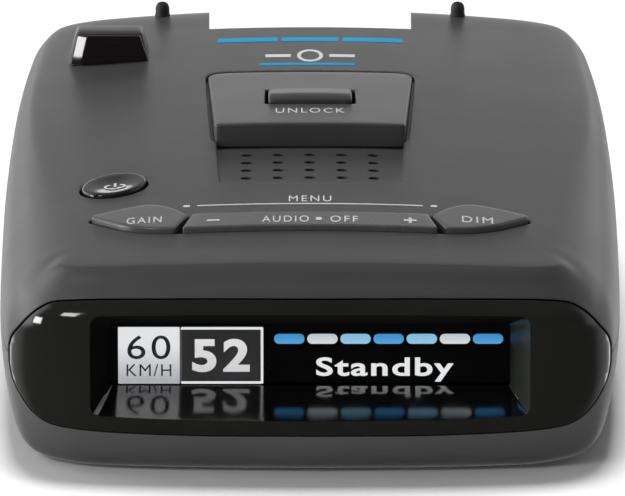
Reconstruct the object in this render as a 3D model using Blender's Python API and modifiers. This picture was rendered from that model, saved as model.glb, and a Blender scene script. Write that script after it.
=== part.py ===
"""Windshield-mount radar detector, in metres, +Z up, +Y towards the windshield.

The display faces -Y. The origin is on the table, under the centre of the case.
Sizes below are in millimetres and are turned into metres where a mesh is made.
"""
import math

import bmesh
import bpy
from mathutils import Matrix, Vector

MM = 0.001
GAP = 0.3                      # between neighbouring pieces
WALL = 2.0                     # side and floor thickness of the case
TOP_WALL = 2.2

# Case
FRONT_TOP_Z = 26.8             # top of the case at its front bend
BEND_Y = -64.1
TOP_SLOPE = math.tan(math.radians(1.7))
CROWN_DROP = 1.7               # how far the top falls at CROWN_AT from the centre line
CROWN_AT = 35.0
PARTING_Z = 13.5
RINGS_AROUND = 64
# Right half of the plan outline, front to rear
PLAN = [(0, -69.1), (15, -68.65), (25, -67.7), (31, -66.2), (35, -63.3), (37.2, -59), (38.4, -52),
        (39.4, -35), (40.0, -5), (40.1, 15), (39.8, 34), (39.1, 50), (38.2, 58.5), (36.2, 64.2),
        (31.7, 67.0), (24, 68.0), (12, 68.5), (0, 68.6)]
# Wall profiles, bottom to top: inset from the plan outline, height, and what the height counts from
FLOOR, TOP = 0, 1
FRONT_PROFILE = [(12, 0, FLOOR), (7, 0, FLOOR), (4.4, 0.7, FLOOR), (2.7, 2.4, FLOOR), (1.3, 5.4, FLOOR),
                 (0.1, 8.6, FLOOR), (0, 14, FLOOR), (0.15, 19.4, FLOOR), (1.3, -3.8, TOP),
                 (2.9, -1.85, TOP), (4.2, -0.3, TOP), (5.6, 0, TOP), (12, 0, TOP)]
SIDE_PROFILE = [(12, 0, FLOOR), (6.5, 0, FLOOR), (3.4, 0.8, FLOOR), (1.5, 2.8, FLOOR), (0.5, 7, FLOOR),
                (0.05, 11, FLOOR), (0, 14, FLOOR), (0.25, 17.5, FLOOR), (1.3, -4.35, TOP),
                (3, -2.3, TOP), (5.2, -0.85, TOP), (8, -0.06, TOP), (12, 0, TOP)]
TIGHT_PROFILE = [(12, 0, FLOOR), (6.5, 0, FLOOR), (3.4, 0.8, FLOOR), (1.5, 2.8, FLOOR), (0.5, 7, FLOOR),
                 (0.05, 11, FLOOR), (0, 14, FLOOR), (0.05, 18, FLOOR), (0.45, -5.5, TOP), (1.1, -2.6, TOP),
                 (2.2, -0.8, TOP), (4.2, 0, TOP), (12, 0, TOP)]
TIGHT_FROM, TIGHT_AT = -45, 30
REAR_PROFILE = [(12, 0, FLOOR), (6, 0, FLOOR), (3, 0.8, FLOOR), (1.2, 2.8, FLOOR), (0.3, 7, FLOOR),
                (0, 11, FLOOR), (0, 14, FLOOR), (0.1, 18, FLOOR), (0.5, -6, TOP),
                (1, -2.5, TOP), (2, -0.7, TOP), (3.6, 0, TOP), (12, 0, TOP)]
CORE_X, CORE_Y = 20, 48        # insets run towards this rectangle

# Bezel and display
BEZEL_TOP = [(0, 22.9), (15, 22.8), (29, 22.2), (33.7, 20.7), (36.8, 16.8), (37.6, 14.5)]
BEZEL_BOTTOM = [(0, 5.4), (15, 5.4), (29, 5.8), (33.7, 6.7), (36.8, 9.9), (37.6, 12.4)]
BEZEL_BLOCK_X, BEZEL_BACK_Y = 30, -57.1
SCREEN_X, SCREEN_Z = 25.0, (9.7, 17.7)
RECESS_X, RECESS_Z = 28.05, (7.2, 21.6)
RECESS_Y = (-70.0, -59.0)

# Controls on top
PLATE_REAR_Y, PLATE_FRONT_Y = 31.4, -4.3
PLATE_HALF = (12.4, 13.7)      # half-widths at the front and at the rear
PLATE_RISE = 2.2
PLATE_SINK = 1.1
POCKET_FRONT_Y = -26.1
POCKET_HALF = (11.5, 12.1)
POCKET_DEPTH = (0.3, 1.0)      # at its front and at the plate
HOLE_COLUMNS = [-8.2, -4.1, 0, 4.1, 8.2]
HOLE_ROWS = [-22.0, -17.6, -13.2, -8.8]
HOLE_R = 0.75
RELEASE_HALF_X, RELEASE_Y = 5.5, (9.5, 18.4)
RELEASE_RISE = 1.0
POWER_AT, POWER_SIZE, POWER_TURN = (-25.1, -24.7), (5.3, 3.95), 72
LEAF = [(15.4, -43.0), (17.3, -39.4), (19.0, -37.5), (20.9, -36.9), (24.4, -38.6), (27.6, -40.8),
        (27.5, -41.6), (23.3, -46.6), (20.1, -48.5), (17.0, -49.0)]
BAR = [(-16.1, -49.1), (16.1, -49.1), (14.9, -42.6), (-14.9, -42.6)]
KEY_RISE = 0.7
KEY_GAP = 0.4
KEY_FLANGE = 0.9
KEY_FLANGE_Z = (22.6, 23.3)
KEY_STEM_Z = 21.3
SWITCH_TOP_Z = 20.5

# Rear laser lens
LENS_X, LENS_TOP_X = (-31.9, -22.1), (-30.8, -23.6)
LENS_Y = (40.0, 43.9)
LENS_FOOT_Z, LENS_TOP_Z = 28.0, 32.3
HOOD_X, HOOD_TOP_X = (-32.9, -21.2), (-31.4, -22.6)
HOOD_Y = (40.9, 45.6, 49.7)    # front, rear of its top, rear of its foot
HOOD_FOOT_Z, HOOD_TOP_Z = 27.0, 33.0

# Windshield mount slot
SLOT_HALF_X, SLOT_FLOOR_Z, SLOT_FRONT_Y = 13.8, 22.8, 20.6
NOTCH_Y = 56.0
CHANNEL_WALL = 1.2

# Boards
MAIN_BOARD_Z = (7.0, 8.2)
KEY_BOARD_Z = (17.0, 18.2)
LASER_BOARD_Z = (18.0, 19.2)
BOARD_HALF_X = 28.5
POSTS = [(-32.5, -46), (32.5, -46), (-32.5, 52), (32.5, 52)]
MAIN_BOARD_SCREWS = [(-24, -40), (24, 12)]
LASER_POSTS = [(-26.5, 33), (-12, 57.5)]


def clear_scene():
    for old in list(bpy.data.objects):
        bpy.data.objects.remove(old)


def collection(name):
    made = bpy.data.collections.new(name)
    bpy.context.scene.collection.children.link(made)
    return made


def material(name, color, roughness, metallic=0.0):
    made = bpy.data.materials.get(name) or bpy.data.materials.new(name)
    made.use_nodes = True
    shader = made.node_tree.nodes["Principled BSDF"]
    shader.inputs["Base Color"].default_value = (*color, 1)
    shader.inputs["Roughness"].default_value = roughness
    shader.inputs["Metallic"].default_value = metallic
    return made


def housing_black():
    return material("housing_black", (0.045, 0.045, 0.048), 0.5)


def gloss_black():
    return material("gloss_black", (0.008, 0.008, 0.009), 0.08)


def board_green():
    return material("board_green", (0.02, 0.14, 0.06), 0.45)


def steel():
    return material("steel", (0.55, 0.55, 0.56), 0.3, 1.0)


def moulded_black():
    return material("moulded_black", (0.02, 0.02, 0.022), 0.45)


def smooth(edge_low, edge_high, value):
    t = min(max((value - edge_low) / (edge_high - edge_low), 0), 1)
    return t * t * (3 - 2 * t)


def top_z(x, y):
    """Height of the top surface, away from its edges."""
    return FRONT_TOP_Z + TOP_SLOPE * (y - BEND_Y) - CROWN_DROP * (x / CROWN_AT) ** 2


def spline_point(points, t):
    """Catmull-Rom through points, t from 0 to 1 along them."""
    place = t * (len(points) - 1)
    i = min(int(place), len(points) - 2)
    u = place - i
    a, b, c, d = (Vector(points[min(max(j, 0), len(points) - 1)]) for j in range(i - 1, i + 3))
    return 0.5 * ((2 * b) + (c - a) * u + (2 * a - 5 * b + 4 * c - d) * u ** 2
                  + (3 * b - a - 3 * c + d) * u ** 3)


def plan_outline(count):
    """Whole plan outline, counter-clockwise from the front centre, evenly spaced along its length."""
    fine = [spline_point(PLAN, i / 600) for i in range(601)]
    reach = [0.0]
    for a, b in zip(fine, fine[1:]):
        reach.append(reach[-1] + (b - a).length)
    half = []
    k = 0
    for i in range(count // 2 + 1):
        want = reach[-1] * i / (count // 2)
        while k < 599 and reach[k + 1] < want:
            k += 1
        half.append(fine[k].lerp(fine[k + 1], (want - reach[k]) / (reach[k + 1] - reach[k])))
    half[0].x = half[-1].x = 0
    return half + [Vector((-p.x, p.y)) for p in half[-2:0:-1]]


def form(name, wall=0.0, top_wall=0.0, around=RINGS_AROUND):
    """The closed outer form of the case, or the form that is left inside its walls."""
    outline = plan_outline(around)
    bm = bmesh.new()
    rings = []
    for k in range(len(FRONT_PROFILE)):
        ring = []
        for i, p in enumerate(outline):
            tangent = outline[(i + 1) % around] - outline[i - 1]
            normal_y = -tangent.normalized().x
            front, rear = smooth(0.3, 0.85, -normal_y), smooth(0.3, 0.85, normal_y)
            core = Vector((min(max(p.x, -CORE_X), CORE_X), min(max(p.y, -CORE_Y), CORE_Y)))
            inward = (core - p).normalized()
            inset = height = 0
            side, tight = 1 - front - rear, smooth(TIGHT_FROM, TIGHT_AT, p.y)
            for weight, profile in ((front, FRONT_PROFILE), (rear, REAR_PROFILE),
                                    (side * (1 - tight), SIDE_PROFILE), (side * tight, TIGHT_PROFILE)):
                d, z, from_top = profile[k]
                at = p + inward * (d + wall)
                inset += weight * d
                height += weight * (z + (top_z(at.x, at.y) if from_top else 0))
            at = p + inward * (inset + wall)
            if height < PARTING_Z:
                height = wall + height * (PARTING_Z - wall) / PARTING_Z
            else:
                full = top_z(at.x, at.y) - PARTING_Z
                height = PARTING_Z + (height - PARTING_Z) * (full - top_wall) / full
            ring.append((at.x, at.y, height))
        rings.append(ring)
    for share in (0.35, 0.7, 1.0):
        ring = []
        for x, y, z in rings[-1]:
            spine_y = min(max(y, -CORE_Y), CORE_Y)
            near = Vector((x, y)).lerp(Vector((0, spine_y)), share)
            ring.append((near.x, near.y, top_z(near.x, near.y) - top_wall))
        rings.append(ring)
    floor = [(0, min(max(y, -CORE_Y), CORE_Y), z) for x, y, z in rings[0]]
    rings.insert(0, floor)
    made = [[bm.verts.new(Vector(v) * MM) for v in ring] for ring in rings]
    for low, high in zip(made, made[1:]):
        for i in range(around):
            j = (i + 1) % around
            bm.faces.new((low[i], low[j], high[j], high[i]))
    bmesh.ops.remove_doubles(bm, verts=bm.verts, dist=0.00001)
    bmesh.ops.dissolve_degenerate(bm, edges=bm.edges, dist=0.00001)
    bmesh.ops.triangulate(bm, faces=bm.faces)
    return finish(bm, name)


def finish(bm, name, at=(0, 0, 0)):
    """Turn a bmesh into an object with outward faces, its origin at a place given in mm."""
    bmesh.ops.recalc_face_normals(bm, faces=bm.faces)
    mesh = bpy.data.meshes.new(name)
    bm.to_mesh(mesh)
    bm.free()
    made = bpy.data.objects.new(name, mesh)
    made.location = Vector(at) * MM
    return made


def part(made, finish_of):
    parts.objects.link(made)
    made.data.materials.clear()
    made.data.materials.append(finish_of)
    return made


def cutter(made):
    cutters.objects.link(made)
    made.hide_render = True
    made.display_type = "WIRE"
    return made


def boolean(target, tool, operation="DIFFERENCE"):
    change = target.modifiers.new(operation.lower(), "BOOLEAN")
    change.operation = operation
    change.object = tool
    change.solver = "EXACT"


def block(name, low, high):
    """A box between two corners, its origin at its centre."""
    low, high = Vector(low), Vector(high)
    bm = bmesh.new()
    bmesh.ops.create_cube(bm, size=1, matrix=Matrix.Diagonal((*((high - low) * MM), 1)))
    return finish(bm, name, (low + high) / 2)


def drum(name, radius, length, centre, axis="Z", segments=20, top_radius=None):
    """A cylinder or cone about its centre, along one axis."""
    turn = {"X": Matrix.Rotation(math.pi / 2, 4, "Y"), "Y": Matrix.Rotation(-math.pi / 2, 4, "X"),
            "Z": Matrix.Identity(4)}[axis]
    bm = bmesh.new()
    bmesh.ops.create_cone(bm, cap_ends=True, segments=segments, radius1=radius * MM,
                          radius2=(radius if top_radius is None else top_radius) * MM,
                          depth=length * MM, matrix=turn)
    return finish(bm, name, centre)


def hull(name, points):
    """The convex solid around some corners."""
    bm = bmesh.new()
    for p in points:
        bm.verts.new(Vector(p) * MM)
    made = bmesh.ops.convex_hull(bm, input=bm.verts)
    bmesh.ops.delete(bm, geom=[v for v in made["geom_interior"] if isinstance(v, bmesh.types.BMVert)],
                     context="VERTS")
    return finish(bm, name)


def outline_solid(name, points, low, high, slope=0.0):
    """A flat outline made solid between two heights; slope raises it towards +Y."""
    curve = bpy.data.curves.new(name, "CURVE")
    curve.dimensions = "2D"
    curve.fill_mode = "BOTH"
    curve.extrude = (high - low) / 2 * MM
    line = curve.splines.new("POLY")
    line.points.add(len(points) - 1)
    for spot, (x, y) in zip(line.points, points):
        spot.co = (x * MM, y * MM, 0, 1)
    line.use_cyclic_u = True
    mesh = mesh_of(curve, name)
    bm = bmesh.new()
    bm.from_mesh(mesh)
    for v in bm.verts:
        v.co.z += (low + high) / 2 * MM + slope * v.co.y
    return finish(bm, name)


def mesh_of(curve, name):
    """The welded mesh of a curve."""
    guide = bpy.data.objects.new(name, curve)
    bpy.context.scene.collection.objects.link(guide)
    mesh = bpy.data.meshes.new_from_object(guide.evaluated_get(bpy.context.evaluated_depsgraph_get()))
    bpy.data.objects.remove(guide)
    bm = bmesh.new()
    bm.from_mesh(mesh)
    bmesh.ops.remove_doubles(bm, verts=bm.verts, dist=0.000001)
    bm.to_mesh(mesh)
    bm.free()
    return mesh


def turned(name, profile, centre, axis="Z", steps=20):
    """A solid of revolution. The profile runs down its outer side, top to bottom, in mm."""
    bm = bmesh.new()
    spots = [bm.verts.new((r * MM, 0, z * MM)) for r, z in profile]
    for a, b in zip(spots, spots[1:]):
        bm.edges.new((a, b))
    mesh = bpy.data.meshes.new(name)
    bm.to_mesh(mesh)
    bm.free()
    made = bpy.data.objects.new(name, mesh)
    made.location = Vector(centre) * MM
    if axis == "X":
        made.rotation_euler = (0, math.pi / 2, 0)
    if axis == "Y":
        made.rotation_euler = (-math.pi / 2, 0, 0)
    screw = made.modifiers.new("turn", "SCREW")
    screw.steps = screw.render_steps = steps
    screw.use_merge_vertices = True
    screw.merge_threshold = 0.00001
    return made


def grow(points, by):
    """An outline moved outwards by a distance."""
    area = sum(a[0] * b[1] - b[0] * a[1] for a, b in zip(points, points[1:] + points[:1]))
    side = 1 if area > 0 else -1
    grown = []
    for i, p in enumerate(points):
        before = (Vector(p) - Vector(points[i - 1])).normalized()
        after = (Vector(points[(i + 1) % len(points)]) - Vector(p)).normalized()
        normal = Vector((before.y + after.y, -before.x - after.x)).normalized() * side
        lean = max(math.cos(before.angle(after) / 2), 0.4)
        grown.append(tuple(Vector(p) + normal * by / lean))
    return grown


def mirrored(points):
    return [(-x, y) for x, y in points]


def oval(centre, size, turn, count=20):
    a = math.radians(turn)
    spots = []
    for i in range(count):
        t = 2 * math.pi * i / count
        u, v = size[0] * math.cos(t), size[1] * math.sin(t)
        spots.append((centre[0] + u * math.cos(a) - v * math.sin(a),
                      centre[1] + u * math.sin(a) + v * math.cos(a)))
    return spots


def bezel_outline(gap):
    """Front view of the bezel, wide and pointed at the sides, grown by a gap."""
    right = BEZEL_BOTTOM + BEZEL_TOP[:0:-1] + BEZEL_TOP[:1]
    whole = right + [(-x, z) for x, z in right[-2:0:-1]]
    return grow(whole, gap)


def bezel_prism(name, gap, back_y):
    """The bezel's front view run back through the case."""
    made = outline_solid(name, bezel_outline(gap), -80, back_y)
    made.data.transform(Matrix(((1, 0, 0, 0), (0, 0, 1, 0), (0, 1, 0, 0), (0, 0, 0, 1))))
    made.data.flip_normals()
    return made


def plate_outline(grown=0.0):
    front, rear = PLATE_HALF
    right = [(front, PLATE_FRONT_Y), (rear - 0.15, PLATE_REAR_Y - 2.2), (rear - 0.6, PLATE_REAR_Y - 0.8),
             (rear - 2.2, PLATE_REAR_Y - 0.1)]
    return grow(right + [(0, PLATE_REAR_Y + 0.4)] + [(-x, y) for x, y in right[::-1]], grown)


def make_case():
    """Top and bottom shells and the bezel, all cut from one outer form."""
    inner = cutter(form("case_inner", WALL, TOP_WALL, 48))
    upper = cutter(block("upper_half", (-60, -90, PARTING_Z + GAP / 2), (60, 90, 60)))
    lower = cutter(block("lower_half", (-60, -90, -10), (60, 90, PARTING_Z - GAP / 2)))
    around_bezel = cutter(bezel_prism("around_bezel", GAP / 2, -50))
    window_hole = cutter(block("window_hole", (-31.3, 60, 4.9), (31.3, 80, 19.6)))

    top = part(form("top_housing"), housing_black())
    boolean(top, upper, "INTERSECT")
    boolean(top, inner)
    boolean(top, around_bezel)
    for i, (x, y) in enumerate(POSTS):
        high = 22.6 if y < 0 else 25.5
        boolean(top, cutter(drum(f"top_post_{i}", 3.2, high - 14.5, (x, y, (high + 14.5) / 2))), "UNION")
    for side in (-1, 1):
        boolean(top, cutter(drum(f"key_board_boss_{side}", 2, 6, (side * 25, -50.6, 21.6))), "UNION")
    boolean(top, cutter(hood()), "UNION")
    cut_top(top)
    boolean(top, window_hole)

    bottom = part(form("bottom_housing"), material("base_black", (0.02, 0.02, 0.022), 0.5))
    boolean(bottom, lower, "INTERSECT")
    boolean(bottom, inner)
    boolean(bottom, around_bezel)
    for i, (x, y) in enumerate(POSTS):
        boolean(bottom, cutter(drum(f"boss_{i}", 3.2, 13.2, (x, y, 7.6))), "UNION")
        boolean(bottom, cutter(drum(f"boss_hole_{i}", 1.3, 40, (x, y, 10))))
        boolean(bottom, cutter(drum(f"boss_head_{i}", 2.75, 8, (x, y, 0))))
    for i, (x, y) in enumerate(MAIN_BOARD_SCREWS):
        boolean(bottom, cutter(drum(f"board_boss_{i}", 2.4, 5.7, (x, y, 3.85))), "UNION")
        boolean(bottom, cutter(drum(f"board_boss_hole_{i}", 1.0, 4, (x, y, 6))))
    for i, (x, y) in enumerate(LASER_POSTS):
        boolean(bottom, cutter(drum(f"laser_post_{i}", 1.6, 16.7, (x, y, 9.35))), "UNION")
    boolean(bottom, window_hole)
    boolean(bottom, cutter(block("label_recess", (-20, -24, -1), (20, 6, 0.6))))
    for opening in jack_openings():
        boolean(bottom, opening)
        boolean(top, opening)
    make_bezel()
    make_window(inner)


def make_bezel():
    bezel = part(form("front_bezel"), gloss_black())
    boolean(bezel, cutter(bezel_prism("bezel_front", -GAP / 2, -50)), "INTERSECT")
    hollow = cutter(form("bezel_hollow", WALL, TOP_WALL, 48))
    solid_front = block("bezel_block", (-BEZEL_BLOCK_X, -90, -5), (BEZEL_BLOCK_X, BEZEL_BACK_Y, 40))
    boolean(hollow, cutter(solid_front))
    boolean(bezel, hollow)
    (near, far), (low, high), (out_low, out_high) = RECESS_Y, SCREEN_Z, RECESS_Z
    corners = [(s * RECESS_X, near, z) for s in (-1, 1) for z in (out_low, out_high)]
    corners += [(s * SCREEN_X, far, z) for s in (-1, 1) for z in (low, high)]
    boolean(bezel, cutter(hull("display_recess", corners)))
    boolean(bezel, cutter(block("window_seat", (-27, far - GAP, 7.9), (27, -50, 19.5))))


def make_window(inner):
    """Dark window that the radar and laser receivers look through."""
    window = part(form("windshield_window"), gloss_black())
    boolean(window, cutter(block("window_region", (-31, 60, 5.2), (31, 80, 19.3))), "INTERSECT")
    boolean(window, inner)


def hood():
    """Raised hood behind and beside the rear laser lens."""
    return hull("lens_hood", [(x, y, z) for (left, right), y, z in
                              ((HOOD_X, HOOD_Y[0], HOOD_FOOT_Z), (HOOD_TOP_X, HOOD_Y[0], HOOD_TOP_Z),
                               (HOOD_TOP_X, HOOD_Y[1], HOOD_TOP_Z), (HOOD_X, HOOD_Y[2], HOOD_FOOT_Z))
                              for x in (left, right)])


def lens_corners(gap=0.0):
    """Corners of the rear laser lens, grown by a gap."""
    near, far = LENS_Y
    sections = [(LENS_FOOT_Z - gap, LENS_X), (LENS_TOP_Z + gap, LENS_TOP_X)]
    return [(x, y, z) for z, (left, right) in sections for x in (left - gap, right + gap)
            for y in (near - gap, far + gap)]


def cut_top(top):
    """Openings of the top shell."""
    recess = outline_solid("plate_recess", plate_outline(GAP), top_z(0, 0) - PLATE_SINK, 45, TOP_SLOPE)
    boolean(top, cutter(recess))
    front, rear = POCKET_HALF
    front_z = top_z(0, POCKET_FRONT_Y) - POCKET_DEPTH[0]
    rear_z = top_z(0, PLATE_FRONT_Y) - POCKET_DEPTH[1]
    pocket = [(s * x, y, z) for s in (-1, 1) for x, y, z in
              ((front - 1.2, POCKET_FRONT_Y, front_z), (front, POCKET_FRONT_Y + 1.4, front_z),
               (rear, PLATE_FRONT_Y + 1, rear_z))]
    pocket += [(x, y, z + 12) for x, y, z in pocket]
    boolean(top, cutter(hull("speaker_pocket", pocket)))
    for i, x in enumerate(HOLE_COLUMNS):
        for j, y in enumerate(HOLE_ROWS):
            boolean(top, cutter(drum(f"speaker_hole_{i}_{j}", HOLE_R, 20, (x, y, 28), segments=6)))
    boolean(top, cutter(block("release_hole", (-6.1, 9.0, 20), (6.1, 18.9, 40))))
    boolean(top, cutter(block("slot", (-SLOT_HALF_X, 64, SLOT_FLOOR_Z), (SLOT_HALF_X, 80, 28.2))))
    boolean(top, cutter(block("notch", (-SLOT_HALF_X, NOTCH_Y, SLOT_FLOOR_Z), (SLOT_HALF_X, 80, 45))))
    power = grow(oval(POWER_AT, POWER_SIZE, POWER_TURN), KEY_GAP)
    boolean(top, cutter(outline_solid("power_hole", power, 20, 40)))
    for name, outline in (("left_key_hole", mirrored(LEAF)), ("right_key_hole", LEAF), ("bar_hole", BAR)):
        boolean(top, cutter(outline_solid(name, grow(outline, KEY_GAP), 21, 40)))
    boolean(top, cutter(hull("lens_pocket", lens_corners(GAP))))
    boolean(top, cutter(block("lens_shaft", (-31, 40.6, 20), (-23, 43.4, 28.4))))
    for i, (x, y) in enumerate(POSTS):
        boolean(top, cutter(drum(f"top_post_hole_{i}", 1.3, 12, (x, y, 15))))
    for side in (-1, 1):
        boolean(top, cutter(drum(f"key_boss_hole_{side}", 1.0, 6, (side * 25, -50.6, 19.6))))


def jack_openings():
    """Holes in the side walls for the power, earphone and service sockets."""
    return [cutter(block("power_socket_hole", (-45, 4.4, 9.3), (-34, 15.6, 17.7))),
            cutter(drum("earphone_hole", 2.9, 12, (-39, 25, 11.8), "X")),
            cutter(block("service_hole", (34, 5.4, 9.2), (45, 14.6, 13.9)))]


def make_display():
    part(block("display_window", (-26.6, -58.7, 8.3), (26.6, -57.7, 19.1)),
         material("smoked_window", (0.01, 0.01, 0.012), 0.05))
    part(block("display_panel", (-26.2, -57.4, 8.7), (26.2, -55.8, 18.7)),
         material("display_glass", (0.02, 0.02, 0.03), 0.1))
    carrier = part(block("display_carrier", (-29, -55.5, 5.6), (29, -53.9, 20.3)), moulded_black())
    boolean(carrier, cutter(block("carrier_hole", (-24, -70, 10.6), (24, -50, 16.6))))
    ribbon = [(-53.6, 13), (-53.1, 10.6), (-51.9, 9.2), (-50.2, 8.6), (-44, 8.6)]
    sheet = [(y, z) for y, z in ribbon] + [(y + 0.1, z + 0.35) for y, z in ribbon[::-1]]
    strip = outline_solid("display_ribbon", sheet, -8, 8)
    strip.data.transform(Matrix(((0, 0, 1, 0), (1, 0, 0, 0), (0, 1, 0, 0), (0, 0, 0, 1))))
    part(strip, material("ribbon_amber", (0.45, 0.2, 0.04), 0.4))


def make_boards():
    low, high = MAIN_BOARD_Z
    main = part(block("main_board", (-BOARD_HALF_X, -50, low), (BOARD_HALF_X, 18, high)), board_green())
    for i, (x, y) in enumerate(MAIN_BOARD_SCREWS):
        boolean(main, cutter(drum(f"main_board_hole_{i}", 1.3, 5, (x, y, 7.6))))
        part(turned(f"main_board_screw_{i + 1}", [(0, 1.3), (1.6, 1.3), (2.0, 0.7), (2.0, 0), (0.7, 0),
                                                  (0.7, -3.6), (0, -4)], (x, y, high + GAP)), steel())
    low, high = KEY_BOARD_Z
    keys = part(block("key_board", (-BOARD_HALF_X, -53.4, low), (BOARD_HALF_X, -19, high)), board_green())
    boolean(keys, cutter(block("speaker_clearance", (-15.5, -30.5, 10), (15.5, -10, 30))))
    for side, name in ((-1, "left"), (1, "right")):
        boolean(keys, cutter(drum(f"key_board_hole_{name}", 1.0, 5, (side * 25, -50.6, 17.6))))
        part(turned(f"key_board_screw_{name}", [(0, 3.6), (0.7, 3.3), (0.7, 0), (1.8, 0), (1.8, -0.9),
                                                (1.4, -1.3), (0, -1.3)],
                    (side * 25, -50.6, low - GAP)), steel())
    part(block("laser_board", (-29, 30, LASER_BOARD_Z[0]), (-10, 60, LASER_BOARD_Z[1])), board_green())
    base = MAIN_BOARD_Z[1] + GAP
    part(block("processor", (-6, -34, base), (6, -22, base + 1.4)),
         material("chip", (0.02, 0.02, 0.02), 0.35))
    part(turned("power_capacitor", [(0, 7), (2.6, 7), (3.1, 6.5), (3.1, 0), (0, 0)], (-16, -8, base)),
         material("capacitor_sleeve", (0.03, 0.04, 0.12), 0.3))
    part(block("board_connector", (10, -42, base), (22, -38.5, KEY_BOARD_Z[0] - GAP)),
         material("connector_tan", (0.55, 0.5, 0.4), 0.5))


def make_switch(name, x, y, size=2.3, low=KEY_BOARD_Z[1] + GAP, high=SWITCH_TOP_Z):
    """Tactile switch: a square can with a round plunger."""
    can = part(block(name, (x - size, y - size, low), (x + size, y + size, high - 0.6)), steel())
    boolean(can, cutter(drum(name + "_plunger", 1.2, 1.6, (x, y, high - 0.8), segments=12)), "UNION")


def make_key(name, outline, stems, rise, flange_x, finish_of):
    """A key cap that follows the case's crown, with a flange under the wall and stems below."""
    key = part(outline_solid(name, outline, KEY_FLANGE_Z[0], 40), finish_of)
    boolean(key, cutter(raised_form(name + "_skin", rise)), "INTERSECT")
    flange = cutter(outline_solid(name + "_flange", grow(outline, KEY_FLANGE), *KEY_FLANGE_Z))
    reach = cutter(block(name + "_flange_reach", (flange_x[0], -60, 0), (flange_x[1], 0, 60)))
    boolean(flange, reach, "INTERSECT")
    boolean(key, flange, "UNION")
    for i, (x, y, low) in enumerate(stems):
        boolean(key, cutter(drum(f"{name}_stem_{i}", 1.4, 24 - low, (x, y, (24 + low) / 2), segments=12)),
                "UNION")
    return key


def raised_form(name, rise):
    """A coarse copy of the case's top surface, moved up."""
    xs = [-40 + 5 * i for i in range(17)]
    ys = [-60, -20, 20, 60]
    bm = bmesh.new()
    top = [[bm.verts.new(Vector((x, y, top_z(x, y) + rise)) * MM) for x in xs] for y in ys]
    low = [[bm.verts.new(Vector((x, y, 10)) * MM) for x in xs] for y in ys]
    for sheet in (top, low):
        for j in range(len(ys) - 1):
            for i in range(len(xs) - 1):
                bm.faces.new((sheet[j][i], sheet[j][i + 1], sheet[j + 1][i + 1], sheet[j + 1][i]))
    for i in range(len(xs) - 1):
        for j in (0, -1):
            bm.faces.new((top[j][i], top[j][i + 1], low[j][i + 1], low[j][i]))
    for j in range(len(ys) - 1):
        for i in (0, -1):
            bm.faces.new((top[j][i], top[j + 1][i], low[j + 1][i], low[j][i]))
    return finish(bm, name)


def make_keys():
    make_key("sensitivity_key", mirrored(LEAF), [(-21, -43, KEY_STEM_Z)], KEY_RISE, (-40, -17.8),
             housing_black())
    make_key("brightness_key", LEAF, [(21, -43, KEY_STEM_Z)], KEY_RISE, (17.8, 40), housing_black())
    make_key("power_key", oval(POWER_AT, POWER_SIZE, POWER_TURN), [(*POWER_AT, KEY_STEM_Z)], 0.5, (-40, 0),
             gloss_black())
    rocker = make_key("volume_rocker", BAR, [(x, -45.8, KEY_STEM_Z + 0.3) for x in (-11, 11)], KEY_RISE,
                      (-14.2, 14.2), housing_black())
    boolean(rocker, cutter(block("rocker_relief", (-3.4, -50, 20), (3.4, -40, 22.9))))
    part(block("mute_plunger", (-3, -47.6, KEY_STEM_Z), (3, -44, 22.6)), moulded_black())
    for name, x, y in (("power_switch", *POWER_AT), ("sensitivity_switch", -21, -43),
                       ("brightness_switch", 21, -43), ("mute_switch", 0, -45.8),
                       ("volume_down_switch", -11, -45.8), ("volume_up_switch", 11, -45.8)):
        make_switch(name, x, y)


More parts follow.
